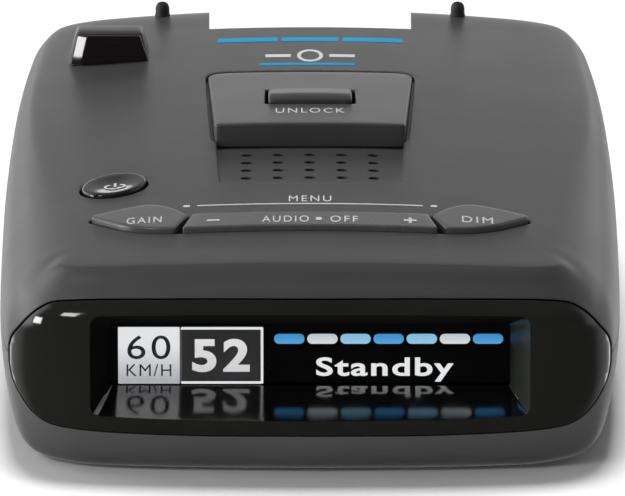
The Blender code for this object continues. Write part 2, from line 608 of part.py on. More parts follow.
def make_mount():
    """Slot for the windshield bracket, its cover plate and its release catch."""
    x, low, front = SLOT_HALF_X, SLOT_FLOOR_Z, SLOT_FRONT_Y
    w = CHANNEL_WALL
    channel = part(block("mount_channel", (-x - w, front - w, low - w), (x + w, 64.8, 26.4)),
                   moulded_black())
    boolean(channel, cutter(block("channel_space", (-x, front, low), (x, 80, 40))))
    boolean(channel, cutter(block("catch_hole", (-4.5, 22.3, 15), (4.5, 26.3, 25))))

    z = top_z(0, 0)
    lift = z - PLATE_SINK
    plate = part(outline_solid("mount_cover", plate_outline(), lift + GAP, 45, TOP_SLOPE), housing_black())
    front_z = top_z(0, PLATE_FRONT_Y) + PLATE_RISE
    rear_z = top_z(0, PLATE_REAR_Y)
    wedge = [(s * 20, y, h) for s in (-1, 1) for y, h in ((-12, front_z + (front_z - rear_z) * 6.1 / 39.4),
                                                          (36, rear_z - 0.05))]
    wedge += [(x, y, 20) for x, y, _ in wedge]
    boolean(plate, cutter(hull("plate_wedge", wedge)), "INTERSECT")
    boolean(plate, cutter(block("plate_release_hole", (-5.95, 9.1, 10), (5.95, 18.8, 50))))

    (near, far), half = RELEASE_Y, RELEASE_HALF_X
    surface = front_z + (rear_z - front_z) * (near - PLATE_FRONT_Y) / (PLATE_REAR_Y - PLATE_FRONT_Y)
    button = part(hull("release_button", [(s * half, y, h) for s in (-1, 1) for y, h in
                                          ((near, surface + RELEASE_RISE), (far, surface + 0.5),
                                           (near, 25.2), (far, 25.2))]), housing_black())
    boolean(button, cutter(block("release_flange", (-6.9, 8.3, 25.0), (6.9, 18.6, 26.1))), "UNION")
    boolean(button, cutter(block("release_stem", (-4, 11, 21.1), (4, 17, 26))), "UNION")
    latch = part(block("release_latch", (-5, 10.5, 19.8), (5, 26.0, 20.8)), steel())
    boolean(latch, cutter(hull("latch_tooth", [(s * 4, y, h) for s in (-1, 1) for y, h in
                                               ((22.7, 20.5), (25.9, 20.5), (22.7, 25.3), (24.0, 25.3))])),
            "UNION")
    bracket = part(block("latch_bracket", (-9, 10.2, 12.6), (9, 17.8, 26.1)), steel())
    boolean(bracket, cutter(block("bracket_space", (-8, 0, 13.6), (8, 30, 40))))
    make_spring()
    for side, name in ((-1, "left"), (1, "right")):
        at = (side * 20.2, 64.8)
        base = top_z(*at)
        profile = [(0, 1.95), (0.5, 1.85), (0.85, 1.5), (0.95, 1.1), (0.95, 0.3), (0, 0.3)]
        part(turned(f"bumper_{name}", profile, (*at, base), steps=14),
             material("bumper_rubber", (0.02, 0.02, 0.02), 0.6))


def make_spring():
    """Return spring of the release button."""
    radius, turns, low, high, wire = 2.4, 5, 14.25, 19.15, 0.3
    count = turns * 10
    curve = bpy.data.curves.new("release_spring", "CURVE")
    curve.dimensions = "3D"
    curve.bevel_depth = wire * MM
    curve.bevel_resolution = 1
    curve.use_fill_caps = True
    line = curve.splines.new("POLY")
    line.points.add(count)
    for i, spot in enumerate(line.points):
        a = 2 * math.pi * i / 10
        spot.co = (radius * math.cos(a) * MM, radius * math.sin(a) * MM, (high - low) * i / count * MM, 1)
    made = bpy.data.objects.new("release_spring", mesh_of(curve, "release_spring"))
    made.location = Vector((0, 14, low)) * MM
    part(made, steel())


def make_radar():
    """Cast horn with its microwave board and can, and the laser receivers."""
    x0, x1, y0, y1, z0, z1 = -8, 28.9, 26.6, 60, 4, 19
    horn = part(block("horn_antenna", (x0, y0, z0), (x1, y1, z1)),
                material("cast_zinc", (0.6, 0.6, 0.58), 0.4, 1.0))
    middle = (x0 + x1) / 2
    flare = hull("horn_flare", [(x, y, z) for y, wide, zs in ((34, 6, (9, 14)), (y1 + 2, 18, (4.8, 18.2)))
                                for x in (middle - wide, middle + wide) for z in zs])
    boolean(horn, cutter(flare))
    part(block("microwave_board", (x0 + 1, 27.3, z1 + GAP), (x1 - 5, 56, z1 + 1.1)),
         material("ptfe_board", (0.75, 0.72, 0.62), 0.5))
    part(block("shield_can", (x0 + 2, 22, 2.4), (x1 - 8, 48, z0 - GAP)), steel())
    receiver = part(block("laser_receiver", (-27, 52, 8), (-14, 60, LASER_BOARD_Z[0] - GAP)), moulded_black())
    boolean(receiver, cutter(turned_lens("laser_receiver_dome", (-20.5, 59, 12.8))), "UNION")
    part(hull("rear_laser_lens", lens_corners()), gloss_black())
    part(block("rear_laser_sensor", (-28.6, 40.9, LASER_BOARD_Z[1] + GAP), (-25, 43.2, 26.5)),
         material("sensor_tint", (0.05, 0.01, 0.01), 0.2))


def turned_lens(name, centre):
    return turned(name, [(0, 4.6), (1.6, 4.2), (2.8, 3.2), (3.4, 1.6), (3.4, 0), (0, 0)], centre, "Y", 16)


def make_speaker():
    at = (0, -15.4)
    basket = [(10.6, 25), (12.8, 25), (12.8, 24), (11.6, 23.4), (7.6, 18.9), (0, 18.9), (0, 19.9),
              (7.0, 19.9), (10.6, 24.0), (10.6, 25)]
    part(turned("speaker_basket", basket, (*at, 0), steps=24), steel())
    part(turned("speaker_magnet", [(0, 18.6), (6.4, 18.6), (6.4, 14.4), (0, 14.4)], (*at, 0), steps=24),
         material("ferrite", (0.06, 0.06, 0.06), 0.6))
    cone = [(0, 23.2), (3.4, 23.6), (6, 22.6), (9.6, 24.4), (10.2, 24.2), (6, 21.6), (3.4, 20.6), (0, 20.6)]
    part(turned("speaker_cone", cone, (*at, 0), steps=24),
         material("paper_cone", (0.04, 0.04, 0.04), 0.8))
    gasket = [(10.8, 25.6), (12.6, 25.6), (12.6, 25.3), (10.8, 25.3), (10.8, 25.6)]
    part(turned("speaker_gasket", gasket, (*at, 0), steps=24), material("foam", (0.03, 0.03, 0.03), 0.9))


def make_sockets():
    low = MAIN_BOARD_Z[1] + GAP
    jack = part(block("power_jack", (-36.2, 3, low), (-22.5, 17, 18.6)), moulded_black())
    boolean(jack, cutter(block("power_jack_space", (-50, 5.2, 10), (-24.5, 14.8, 16.9))))
    phone = part(block("earphone_jack", (-36.2, 21.6, low), (-26, 28.4, 15.2)), moulded_black())
    boolean(phone, cutter(drum("earphone_bore", 1.8, 20, (-38.5, 25, 11.8), "X", 16)))
    port = part(block("service_port", (28, 6, low + 1), (37, 14, 13.6)), steel())
    boolean(port, cutter(block("service_port_space", (30, 6.5, low + 1.5), (50, 13.5, 13.1))))


def make_fasteners():
    names = ("front_left", "front_right", "rear_left", "rear_right")
    for name, (x, y) in zip(names, POSTS):
        profile = [(0, 19), (0.8, 18.6), (0.8, 3.3), (2.4, 3.3), (2.4, 1.8), (1.8, 1.2), (0, 1.2)]
        part(turned(f"case_screw_{name}", profile, (x, y, 0), steps=16), steel())
    part(block("rating_label", (-19.5, -23.5, 0.05), (19.5, 5.5, 0.3)),
         material("label_silver", (0.6, 0.6, 0.6), 0.5))


clear_scene()
parts = collection("radar_detector")
cutters = collection("cutters")
make_case()
make_display()
make_boards()
make_keys()
make_mount()
make_radar()
make_speaker()
make_sockets()
make_fasteners()
for each in parts.objects:
    each.data.shade_smooth()
    each.data.set_sharp_from_angle(angle=math.radians(35))
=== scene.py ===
"""Looks of the windshield radar detector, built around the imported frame.

Sizes are in millimetres and are turned into metres where a mesh is made.
"""
import math

import bmesh
import bpy
import numpy as np
from mathutils import Matrix, Vector


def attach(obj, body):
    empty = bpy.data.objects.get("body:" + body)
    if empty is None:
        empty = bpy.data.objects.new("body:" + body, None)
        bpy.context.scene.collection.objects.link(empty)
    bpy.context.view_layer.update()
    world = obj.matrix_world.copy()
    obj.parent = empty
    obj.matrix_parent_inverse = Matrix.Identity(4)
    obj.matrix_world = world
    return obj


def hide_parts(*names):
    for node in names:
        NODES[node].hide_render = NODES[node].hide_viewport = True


MM = 0.001
SEAM = 0.2                     # visible gap between neighbouring shells
WALL, TOP_WALL = 2.0, 2.2

# Case, driven by the same numbers as the frame's case
FRONT_TOP_Z, BEND_Y = 26.8, -64.1
TOP_SLOPE = math.tan(math.radians(1.7))
CROWN_DROP, CROWN_AT = 1.7, 35.0
PARTING_Z = 13.5
CORE_X, CORE_Y = 20, 48
PLAN = [(0, -69.1), (15, -68.65), (25, -67.7), (31, -66.2), (35, -63.3), (37.2, -59), (38.4, -52),
        (39.4, -35), (40.0, -5), (40.1, 15), (39.8, 34), (39.1, 50), (38.2, 58.5), (36.2, 64.2),
        (31.7, 67.0), (24, 68.0), (12, 68.5), (0, 68.6)]
PLAN_STEPS = 1200
# Wall profiles, bottom to top: inset from the plan, height, and 1 where the height counts from the top
FRONT_PROFILE = [(12, 0, 0), (7, 0, 0), (4.4, 0.7, 0), (2.7, 2.4, 0), (1.3, 5.4, 0), (0.1, 8.6, 0),
                 (0, 14, 0), (0.15, 19.4, 0), (1.3, -3.8, 1), (2.9, -1.85, 1), (4.2, -0.3, 1), (5.6, 0, 1),
                 (12, 0, 1)]
SIDE_PROFILE = [(12, 0, 0), (6.5, 0, 0), (3.4, 0.8, 0), (1.5, 2.8, 0), (0.5, 7, 0), (0.05, 11, 0),
                (0, 14, 0), (0.25, 17.5, 0), (1.3, -4.35, 1), (3, -2.3, 1), (5.2, -0.85, 1), (8, -0.06, 1),
                (12, 0, 1)]
TIGHT_PROFILE = SIDE_PROFILE[:7] + [(0.05, 18, 0), (0.45, -5.5, 1), (1.1, -2.6, 1), (2.2, -0.8, 1),
                                    (4.2, 0, 1), (12, 0, 1)]
TIGHT_FROM, TIGHT_AT = -45, 30   # along Y, the sides pass from the one profile to the tighter one
REAR_PROFILE = [(12, 0, 0), (6, 0, 0), (3, 0.8, 0), (1.2, 2.8, 0), (0.3, 7, 0), (0, 11, 0), (0, 14, 0),
                (0.1, 18, 0), (0.5, -6, 1), (1, -2.5, 1), (2, -0.7, 1), (3.6, 0, 1), (12, 0, 1)]
BEZEL_TOP = [(0, 22.9), (15, 22.8), (29, 22.2), (33.7, 20.7), (36.8, 16.8), (37.6, 14.5)]
BEZEL_BOTTOM = [(0, 5.4), (15, 5.4), (29, 5.8), (33.7, 6.7), (36.8, 9.9), (37.6, 12.4)]
BEZEL_BLOCK_X, BEZEL_BACK_Y = 30, -57.1
BEZEL_STEPS, BEZEL_CUT_Y = 26, (-80, -50)
SCREEN_X, SCREEN_Z = 25.0, (9.7, 17.7)
RECESS_X, RECESS_Z = 28.05, (7.2, 21.6)
RECESS_Y = (-70.0, -59.0)

# Top details
PLATE_REAR_Y, PLATE_FRONT_Y = 31.4, -4.3
PLATE_HALF = (12.4, 13.7)
PLATE_RISE, PLATE_SINK = 2.2, 1.1
POCKET_FRONT_Y, POCKET_HALF, POCKET_DEPTH = -26.1, (11.5, 12.1), (0.25, 1.0)
HOLE_COLUMNS, HOLE_ROWS, HOLE_R = [-8.2, -4.1, 0, 4.1, 8.2], [-22.0, -17.6, -13.2, -8.8], 0.75
RELEASE_HALF_X, RELEASE_Y, RELEASE_RISE, RELEASE_CREST = 5.5, (9.5, 18.4), 1.0, 2.3
POWER_AT, POWER_SIZE, POWER_TURN = (-25.1, -24.7), (5.3, 3.95), 72
POWER_RISE, POWER_EDGE, POWER_DISH = 0.45, 0.35, 0.35
LEAF = [(15.4, -43.0), (17.3, -39.4), (19.0, -37.5), (20.9, -36.9), (24.4, -38.6), (27.6, -40.8),
        (27.5, -41.6), (23.3, -46.6), (20.1, -48.5), (17.0, -49.0)]
BAR = [(-16.1, -49.1), (16.1, -49.1), (14.9, -42.6), (-14.9, -42.6)]
KEY_RISE, KEY_EDGE = 0.7, 0.3
CAP_FOOT_Z, FLANGE_Z, STEM_TOP_Z = 22.9, (22.6, 23.3), 23.1
LENS_X, LENS_TOP_X, LENS_Y = (-31.9, -22.1), (-30.8, -23.6), (40.0, 43.9)
LENS_FOOT_Z, LENS_TOP_Z, LENS_GAP = 28.0, 32.3, 0.15
LENS_FACET = 1.7
LENS_LIP = 0.75                 # how far the lens's front reaches over the hood on each side
HOOD_X, HOOD_TOP_X, HOOD_Y = (-32.9, -21.2), (-31.4, -22.6), (40.9, 45.6, 49.7)
HOOD_FOOT_Z, HOOD_TOP_Z = 27.0, 33.0
SLOT_HALF_X, SLOT_FLOOR_Z, NOTCH_Y = 13.8, 22.8, 56.0
WINDOW_X, WINDOW_Z = 31.0, (5.2, 19.3)
SOCKET_HOLE = ((4.4, 15.6), (9.3, 17.7), -45, -34)   # Y, Z, then from where to where in X
SERVICE_HOLE = ((5.4, 14.6), (9.2, 13.9), 34, 45)
EARPHONE_AT, EARPHONE_R = (-39, 25, 11.8), 2.9
BUMPER_AT = (20.2, 64.8)
LABEL_X, LABEL_Y = 19.5, (-23.5, 5.5)
POSTS = [(-32.5, -46), (32.5, -46), (-32.5, 52), (32.5, 52)]

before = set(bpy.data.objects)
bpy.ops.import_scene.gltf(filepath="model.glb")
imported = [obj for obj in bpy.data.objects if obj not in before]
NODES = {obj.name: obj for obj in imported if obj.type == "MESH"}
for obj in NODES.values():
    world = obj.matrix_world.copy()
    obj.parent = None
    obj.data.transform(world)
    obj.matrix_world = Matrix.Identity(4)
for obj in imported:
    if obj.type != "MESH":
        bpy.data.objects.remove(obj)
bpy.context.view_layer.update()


# ---- shape of the case

def smooth(low, high, value):
    t = min(max((value - low) / (high - low), 0), 1)
    return t * t * (3 - 2 * t)


def top_z(x, y):
    return FRONT_TOP_Z + TOP_SLOPE * (y - BEND_Y) - CROWN_DROP * (x / CROWN_AT) ** 2


def plate_z(x, y):
    """Top of the raised cover plate: flush at its rear, highest at its front."""
    t = (y - PLATE_FRONT_Y) / (PLATE_REAR_Y - PLATE_FRONT_Y)
    return top_z(x, y) + PLATE_RISE * (1 - t)


def pocket_z(x, y):
    """Floor of the speaker pocket, deepest at the plate."""
    t = (y - POCKET_FRONT_Y) / (PLATE_FRONT_Y - POCKET_FRONT_Y)
    return top_z(x, y) - POCKET_DEPTH[0] - (POCKET_DEPTH[1] - POCKET_DEPTH[0]) * t


def catmull(a, b, c, d, u):
    return 0.5 * (2 * b + (c - a) * u + (2 * a - 5 * b + 4 * c - d) * u ** 2
                  + (3 * b - a - 3 * c + d) * u ** 3)


def along(points, t):
    """Catmull-Rom through rows of points, t from 0 to 1."""
    place = t * (len(points) - 1)
    i = min(int(place), len(points) - 2)
    a, b, c, d = (points[min(max(j, 0), len(points) - 1)] for j in range(i - 1, i + 3))
    return catmull(a, b, c, d, place - i)


def plan_outline(count):
    """Whole plan outline, counter-clockwise from the front centre, evenly spaced."""
    knots = [np.array(p, float) for p in PLAN]
    fine = np.array([along(knots, t) for t in np.arange(PLAN_STEPS + 1) / PLAN_STEPS])
    reach = np.concatenate([[0], np.cumsum(np.linalg.norm(np.diff(fine, axis=0), axis=1))])
    want = np.linspace(0, reach[-1], count // 2 + 1)
    half = np.stack([np.interp(want, reach, fine[:, k]) for k in (0, 1)], 1)
    half[0, 0] = half[-1, 0] = 0
    return np.concatenate([half, half[-2:0:-1] * (-1, 1)])


def form_rings(around, up, wall, top_wall, inner):
    """Rings of points over the case's outer form, floor to top, or over the form inside its walls."""
    outline = plan_outline(around)
    tangent = np.roll(outline, -1, 0) - np.roll(outline, 1, 0)
    normal_y = -tangent[:, 0] / np.linalg.norm(tangent, axis=1)
    front = np.array([smooth(0.3, 0.85, -n) for n in normal_y])
    rear = np.array([smooth(0.3, 0.85, n) for n in normal_y])
    tight = np.array([smooth(TIGHT_FROM, TIGHT_AT, y) for y in outline[:, 1]])
    side = 1 - front - rear
    weights = (front, rear, side * (1 - tight), side * tight)
    core = np.stack([np.clip(outline[:, 0], -CORE_X, CORE_X), np.clip(outline[:, 1], -CORE_Y, CORE_Y)], 1)
    inward = core - outline
    inward /= np.linalg.norm(inward, axis=1)[:, None]
    controls = []
    for k in range(len(FRONT_PROFILE)):
        inset, height = np.zeros(around), np.zeros(around)
        for weight, profile in zip(weights, (FRONT_PROFILE, REAR_PROFILE, SIDE_PROFILE, TIGHT_PROFILE)):
            d, z, from_top = profile[k]
            at = outline + inward * (d + wall)
            inset += weight * d
            height += weight * (z + (top_z(at[:, 0], at[:, 1]) if from_top else 0))
        at = outline + inward * (inset + wall)[:, None]
        full = top_z(at[:, 0], at[:, 1]) - PARTING_Z
        height = np.where(height < PARTING_Z, wall + height * (PARTING_Z - wall) / PARTING_Z,
                          PARTING_Z + (height - PARTING_Z) * (full - top_wall) / full)
        controls.append(np.column_stack([at, height]))
    rings = [along(controls, t) for t in np.linspace(0, 1, up)]
    spine = np.column_stack([np.zeros(around), np.clip(rings[-1][:, 1], -CORE_Y, CORE_Y)])
    edge_floor, edge_top = rings[0][:, :2], rings[-1][:, :2]
    for share in np.linspace(0, 1, inner + 1)[1:]:
        flat = edge_top + (spine - edge_top) * share
        rings.append(np.column_stack([flat, top_z(flat[:, 0], flat[:, 1]) - top_wall]))
    for share in (0.5, 1):
        flat = edge_floor + (spine - edge_floor) * share
        rings.insert(0, np.column_stack([flat, np.full(around, rings[0][0, 2])]))
    return rings


def form(name, around=264, up=64, wall=0.0, top_wall=0.0, inner=16):
    """The case's outer form as one closed shape."""
    bm = bmesh.new()
    bridge(bm, [vertices(bm, ring) for ring in form_rings(around, up, wall, top_wall, inner)])
    bmesh.ops.remove_doubles(bm, verts=bm.verts, dist=0.000005)
    bmesh.ops.dissolve_degenerate(bm, edges=bm.edges, dist=0.000005)
    return finish(bm, name)


def inner_form(name):
    return form(name, 96, 40, WALL, TOP_WALL, 6)


# ---- mesh helpers

def vertices(bm, points):
    return [bm.verts.new(Vector(p) * MM) for p in points]


def lay(bm, outline, height_at, lift=0):
    """Vertices on an outline, at heights that may follow the case."""
    return vertices(bm, [(x, y, height_at(x, y) + lift) for x, y in outline])


def bridge(bm, rings):
    """Faces between neighbouring closed rings."""
    for a, b in zip(rings, rings[1:]):
        for i in range(len(a)):
            j = (i + 1) % len(a)
            bm.faces.new((a[i], a[j], b[j], b[i]))


def tube(bm, rings):
    """Bridged rings, closed at both ends."""
    bridge(bm, rings)
    bm.faces.new(rings[0])
    bm.faces.new(rings[-1])


def close_ring(bm, ring, middle, height_at, lift):
    tip, = lay(bm, [middle], height_at, lift)
    for i in range(len(ring)):
        bm.faces.new((ring[i], ring[(i + 1) % len(ring)], tip))


def middle_of(outline):
    return sum((Vector(p) for p in outline), Vector((0, 0))) / len(outline)


def height_of(value):
    return value if callable(value) else (lambda x, y: value)


def linked(name, data):
    made = bpy.data.objects.new(name, data)
    bpy.context.scene.collection.objects.link(made)
    return made


def finish(bm, name):
    bmesh.ops.recalc_face_normals(bm, faces=bm.faces)
    mesh = bpy.data.meshes.new(name)
    bm.to_mesh(mesh)
    bm.free()
    return linked(name, mesh)


def bake(target):
    """Apply every modifier."""
    evaluated = target.evaluated_get(bpy.context.evaluated_depsgraph_get())
    mesh = bpy.data.meshes.new_from_object(evaluated)
    target.modifiers.clear()
    target.data = mesh


def shade(target, angle=32):
    target.data.shade_smooth()
    target.data.set_sharp_from_angle(angle=math.radians(angle))
    return target


def drop(*objects):
    for each in objects:
        bpy.data.objects.remove(each)


def combine(target, tools, operation="DIFFERENCE"):
    """One exact Boolean of target with several shapes that don't meet each other, which are then removed."""
    bm = bmesh.new()
    for tool in tools:
        bm.from_mesh(tool.data)
    joined = finish(bm, "joined")
    drop(*tools)
    change = target.modifiers.new("cut", "BOOLEAN")
    change.operation = operation
    change.object = joined
    change.solver = "EXACT"
    bpy.context.view_layer.update()
    bake(target)
    drop(joined)
    return target


def block(name, low, high):
    low, high = Vector(low), Vector(high)
    bm = bmesh.new()
    bmesh.ops.create_cube(bm, size=1, matrix=Matrix.Translation((low + high) / 2 * MM)
                          @ Matrix.Diagonal((*((high - low) * MM), 1)))
    return finish(bm, name)


def drum(name, radius, length, centre, axis="Z", segments=48):
    turn = Matrix.Rotation(math.pi / 2, 4, "Y") if axis == "X" else Matrix.Identity(4)
    bm = bmesh.new()
    bmesh.ops.create_cone(bm, cap_ends=True, segments=segments, radius1=radius * MM, radius2=radius * MM,
                          depth=length * MM, matrix=Matrix.Translation(Vector(centre) * MM) @ turn)
    return finish(bm, name)


def hull(name, points, bevel=0.0):
    bm = bmesh.new()
    vertices(bm, points)
    made = bmesh.ops.convex_hull(bm, input=bm.verts)
    bmesh.ops.delete(bm, geom=[v for v in made["geom_interior"] if isinstance(v, bmesh.types.BMVert)],
                     context="VERTS")
    bmesh.ops.dissolve_limit(bm, angle_limit=0.01, verts=bm.verts, edges=bm.edges)
    if bevel:
        bmesh.ops.bevel(bm, geom=bm.edges, offset=bevel * MM, segments=5, profile=0.5, affect="EDGES")
    return finish(bm, name)


def turned(name, profile, centre, steps=48):
    """A solid of revolution from a profile of radius and height."""
    bm = bmesh.new()
    spots = [bm.verts.new((r * MM, 0, z * MM)) for r, z in profile]
    edges = [bm.edges.new(pair) for pair in zip(spots, spots[1:])]
    bmesh.ops.spin(bm, geom=spots + edges, axis=(0, 0, 1), cent=(0, 0, 0), steps=steps, angle=2 * math.pi)
    bmesh.ops.remove_doubles(bm, verts=bm.verts, dist=0.000002)
    bmesh.ops.transform(bm, matrix=Matrix.Translation(Vector(centre) * MM), verts=bm.verts)
    return finish(bm, name)


def rounded(points, radius, steps=6):
    """An outline whose corners are turned into arcs; radius is one number or one for each corner."""
    count = len(points)
    radii = radius if isinstance(radius, (list, tuple)) else [radius] * count
    made = []
    for i, p in enumerate(points):
        p, before, after = Vector(p), Vector(points[i - 1]), Vector(points[(i + 1) % count])
        reach = min(radii[i], (before - p).length * 0.48, (after - p).length * 0.48)
        start, end = p + (before - p).normalized() * reach, p + (after - p).normalized() * reach
        for k in range(steps + 1):
            u = k / steps
            made.append(tuple(start * (1 - u) ** 2 + p * 2 * u * (1 - u) + end * u ** 2))
    return made


def rectangle(xs, ys, radius, steps=6):
    return rounded([(xs[0], ys[0]), (xs[1], ys[0]), (xs[1], ys[1]), (xs[0], ys[1])], radius, steps)


def spaced(points, step):
    """An outline with its long edges divided."""
    made = []
    for a, b in zip(points, points[1:] + points[:1]):
        a, b = Vector(a), Vector(b)
        count = max(1, math.ceil((b - a).length / step))
        made += [tuple(a.lerp(b, k / count)) for k in range(count)]
    return [p for i, p in enumerate(made) if (Vector(p) - Vector(made[i - 1])).length > 0.01]


def grow(points, by):
    """An outline moved outwards by a distance."""
    area = sum(a[0] * b[1] - b[0] * a[1] for a, b in zip(points, points[1:] + points[:1]))
    side = 1 if area > 0 else -1
    grown = []
    for i, p in enumerate(points):
        before = (Vector(p) - Vector(points[i - 1])).normalized()
        after = (Vector(points[(i + 1) % len(points)]) - Vector(p)).normalized()
        normal = Vector((before.y + after.y, -before.x - after.x)).normalized() * side
        lean = max(math.cos(before.angle(after) / 2), 0.5)
        grown.append(tuple(Vector(p) + normal * by / lean))
    return grown


def mirrored(points):
    return [(-x, y) for x, y in points]


def oval(centre, size, turn, count=72):
    a = math.radians(turn)
    spots = []
    for i in range(count):
        t = 2 * math.pi * i / count
        u, v = size[0] * math.cos(t), size[1] * math.sin(t)
        spots.append((centre[0] + u * math.cos(a) - v * math.sin(a),
                      centre[1] + u * math.sin(a) + v * math.cos(a)))
    return spots


def slab(name, outline, low, high, edge=0.0, dish=0.0, rings=7, centre=None):
    """A closed piece on an outline, between two heights that may follow the case.

    edge rounds its upper rim, and dish sinks its top towards the centre.
    """
    low_at, high_at = height_of(low), height_of(high)
    middle = Vector(centre) if centre else middle_of(outline)
    levels = [(outline, low_at, 0)]
    for k in range(6 if edge else 1):
        a = math.pi / 2 * k / 5
        lift = -edge * (1 - math.sin(a)) if edge else 0
        levels.append((grow(outline, -edge * (1 - math.cos(a))), high_at, lift))
    bm = bmesh.new()
    made = [lay(bm, *level) for level in levels]
    for k in range(1, rings):
        share = k / rings
        sink = dish * math.sin(share * math.pi / 2) ** 1.5
        made.append(lay(bm, [Vector(p).lerp(middle, share) for p in levels[-1][0]], high_at, -sink))
        made.insert(0, lay(bm, [Vector(p).lerp(middle, share) for p in outline], low_at))
    bridge(bm, made)
    close_ring(bm, made[0], middle, low_at, 0)
    close_ring(bm, made[-1], middle, high_at, -dish)
    return finish(bm, name)


def wall_slab(name, outline, near, far):
    """A thin upright shape on an outline in X and Z, from far to near in Y."""
    made = slab(name, outline, -far, -near, rings=2)
    made.data.transform(Matrix(((1, 0, 0, 0), (0, 0, -1, 0), (0, 1, 0, 0), (0, 0, 0, 1))))
    return made


def place(piece, body, finish_of, slot, *replaced):
    piece.data.materials.clear()
    piece.data.materials.append(finish_of)
    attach(piece, body)
    if replaced:
        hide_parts(*replaced)
    return piece


# ---- materials

def grey(value):
    return (value, value, value)


def map_range(tree, value, start, end, low, high, easing="LINEAR"):
    """Carries values between start and end onto low to high."""
    made = tree.nodes.new("ShaderNodeMapRange")
    made.interpolation_type = easing
    for socket, number in (("From Min", start), ("From Max", end), ("To Min", low), ("To Max", high)):
        made.inputs[socket].default_value = number
    tree.links.new(value, made.inputs["Value"])
    return made.outputs["Result"]


class Finish:
    """Small helper that wires a procedural material."""

    def __init__(self, name, color, roughness, metallic=0.0, **sockets):
        self.material = bpy.data.materials.new(name)
        self.material.use_nodes = True
        self.nodes = self.material.node_tree.nodes
        self.links = self.material.node_tree.links
        self.shader = self.nodes["Principled BSDF"]
        self.shader.inputs["Base Color"].default_value = (*color, 1)
        self.shader.inputs["Roughness"].default_value = roughness
        self.shader.inputs["Metallic"].default_value = metallic
        for socket, value in sockets.items():
            self.shader.inputs[socket.replace("_", " ")].default_value = value
        self.place = self.nodes.new("ShaderNodeTexCoord").outputs["Object"]

    def scaled(self, scale):
        mapping = self.nodes.new("ShaderNodeMapping")
        mapping.inputs["Scale"].default_value = scale
        self.links.new(self.place, mapping.inputs["Vector"])
        return mapping.outputs["Vector"]

    def noise(self, per_mm, detail=3.0, stretch=(1, 1, 1)):
        texture = self.nodes.new("ShaderNodeTexNoise")
        texture.inputs["Scale"].default_value = 1
        texture.inputs["Detail"].default_value = detail
        self.links.new(self.scaled([s / MM * per_mm for s in stretch]), texture.inputs["Vector"])
        return texture.outputs["Fac"]

    def tint(self, value, dark, light, start=0.3, end=0.7, socket="Base Color"):
        ramp = self.nodes.new("ShaderNodeValToRGB")
        ramp.color_ramp.elements[0].position, ramp.color_ramp.elements[1].position = start, end
        ramp.color_ramp.elements[0].color = (*dark, 1)
        ramp.color_ramp.elements[1].color = (*light, 1)
        self.links.new(value, ramp.inputs["Fac"])
        self.links.new(ramp.outputs["Color"], self.shader.inputs[socket])

    def rough(self, value, low, high):
        varied = map_range(self.material.node_tree, value, 0.3, 0.7, low, high)
        self.links.new(varied, self.shader.inputs["Roughness"])

    def grain(self, value, strength, distance=0.02, edge=0.0):
        """Surface grain, with edges softened over a radius in mm."""
        bump = self.nodes.new("ShaderNodeBump")
        bump.inputs["Strength"].default_value = strength
        bump.inputs["Distance"].default_value = distance * MM
        self.links.new(value, bump.inputs["Height"])
        if edge:
            soft = self.nodes.new("ShaderNodeBevel")
            soft.samples = 6
            soft.inputs["Radius"].default_value = edge * MM
            self.links.new(soft.outputs["Normal"], bump.inputs["Normal"])
        self.links.new(bump.outputs["Normal"], self.shader.inputs["Normal"])


def moulded(name, dark, light, roughness, grain_per_mm, strength, edge=0.2, **sockets):
    """Moulded plastic with a fine spark-eroded grain and slight mottling."""
    made = Finish(name, dark, roughness, **sockets)
    mottle = made.noise(0.05, 4)
    made.tint(mottle, dark, light)
    made.rough(made.noise(0.12, 3), roughness - 0.012, roughness + 0.012)
    made.grain(made.noise(grain_per_mm, 2), strength, 0.02, edge)
    return made.material


def metal(name, dark, light, roughness, stretch=(1, 1, 1), per_mm=1.5):
    """Plated or cast metal with drawn lines or blotches and darker, rougher patches."""
    made = Finish(name, light, roughness, 1.0)
    made.tint(made.noise(0.25, 5), dark, light, 0.25, 0.6)
    made.rough(made.noise(per_mm, 4, stretch), roughness - 0.1, roughness + 0.15)
    made.grain(made.noise(per_mm * 2, 3, stretch), 0.25, 0.02, 0.12)
    return made.material


def lit(name, color, foot=None, span=None):
    """Light of a display element, optionally graded from its foot's color over a span of heights."""
    made = Finish(name, grey(0.01), 0.4, Emission_Color=(*color, 1), Emission_Strength=1.0)
    if foot:
        split = made.nodes.new("ShaderNodeSeparateXYZ")
        made.links.new(made.place, split.inputs["Vector"])
        share = map_range(made.material.node_tree, split.outputs["Z"], span[0] * MM, span[1] * MM, 0, 1)
        made.tint(share, foot, color, 0, 1, "Emission Color")
    made.rough(made.noise(0.5, 2), 0.35, 0.45)
    return made.material


BOARD_GLOSS = 0.35


def board(name, mask, copper):
    """Circuit board: solder mask with tracks showing through it as lighter lines."""
    made = Finish(name, mask, BOARD_GLOSS)
    cells = made.nodes.new("ShaderNodeTexBrick")
    made.links.new(made.scaled([0.25 / MM] * 3), cells.inputs["Vector"])
    cells.inputs["Color1"].default_value = (*mask, 1)
    cells.inputs["Color2"].default_value = (*[c * 0.75 for c in mask], 1)
    cells.inputs["Mortar"].default_value = (*copper, 1)
    cells.inputs["Scale"].default_value = 1
    cells.inputs["Mortar Size"].default_value = 0.04
    made.links.new(cells.outputs["Color"], made.shader.inputs["Base Color"])
    made.rough(made.noise(0.3, 3), BOARD_GLOSS - 0.08, BOARD_GLOSS + 0.1)
    made.grain(cells.outputs["Fac"], 0.3, 0.03)
    return made.material


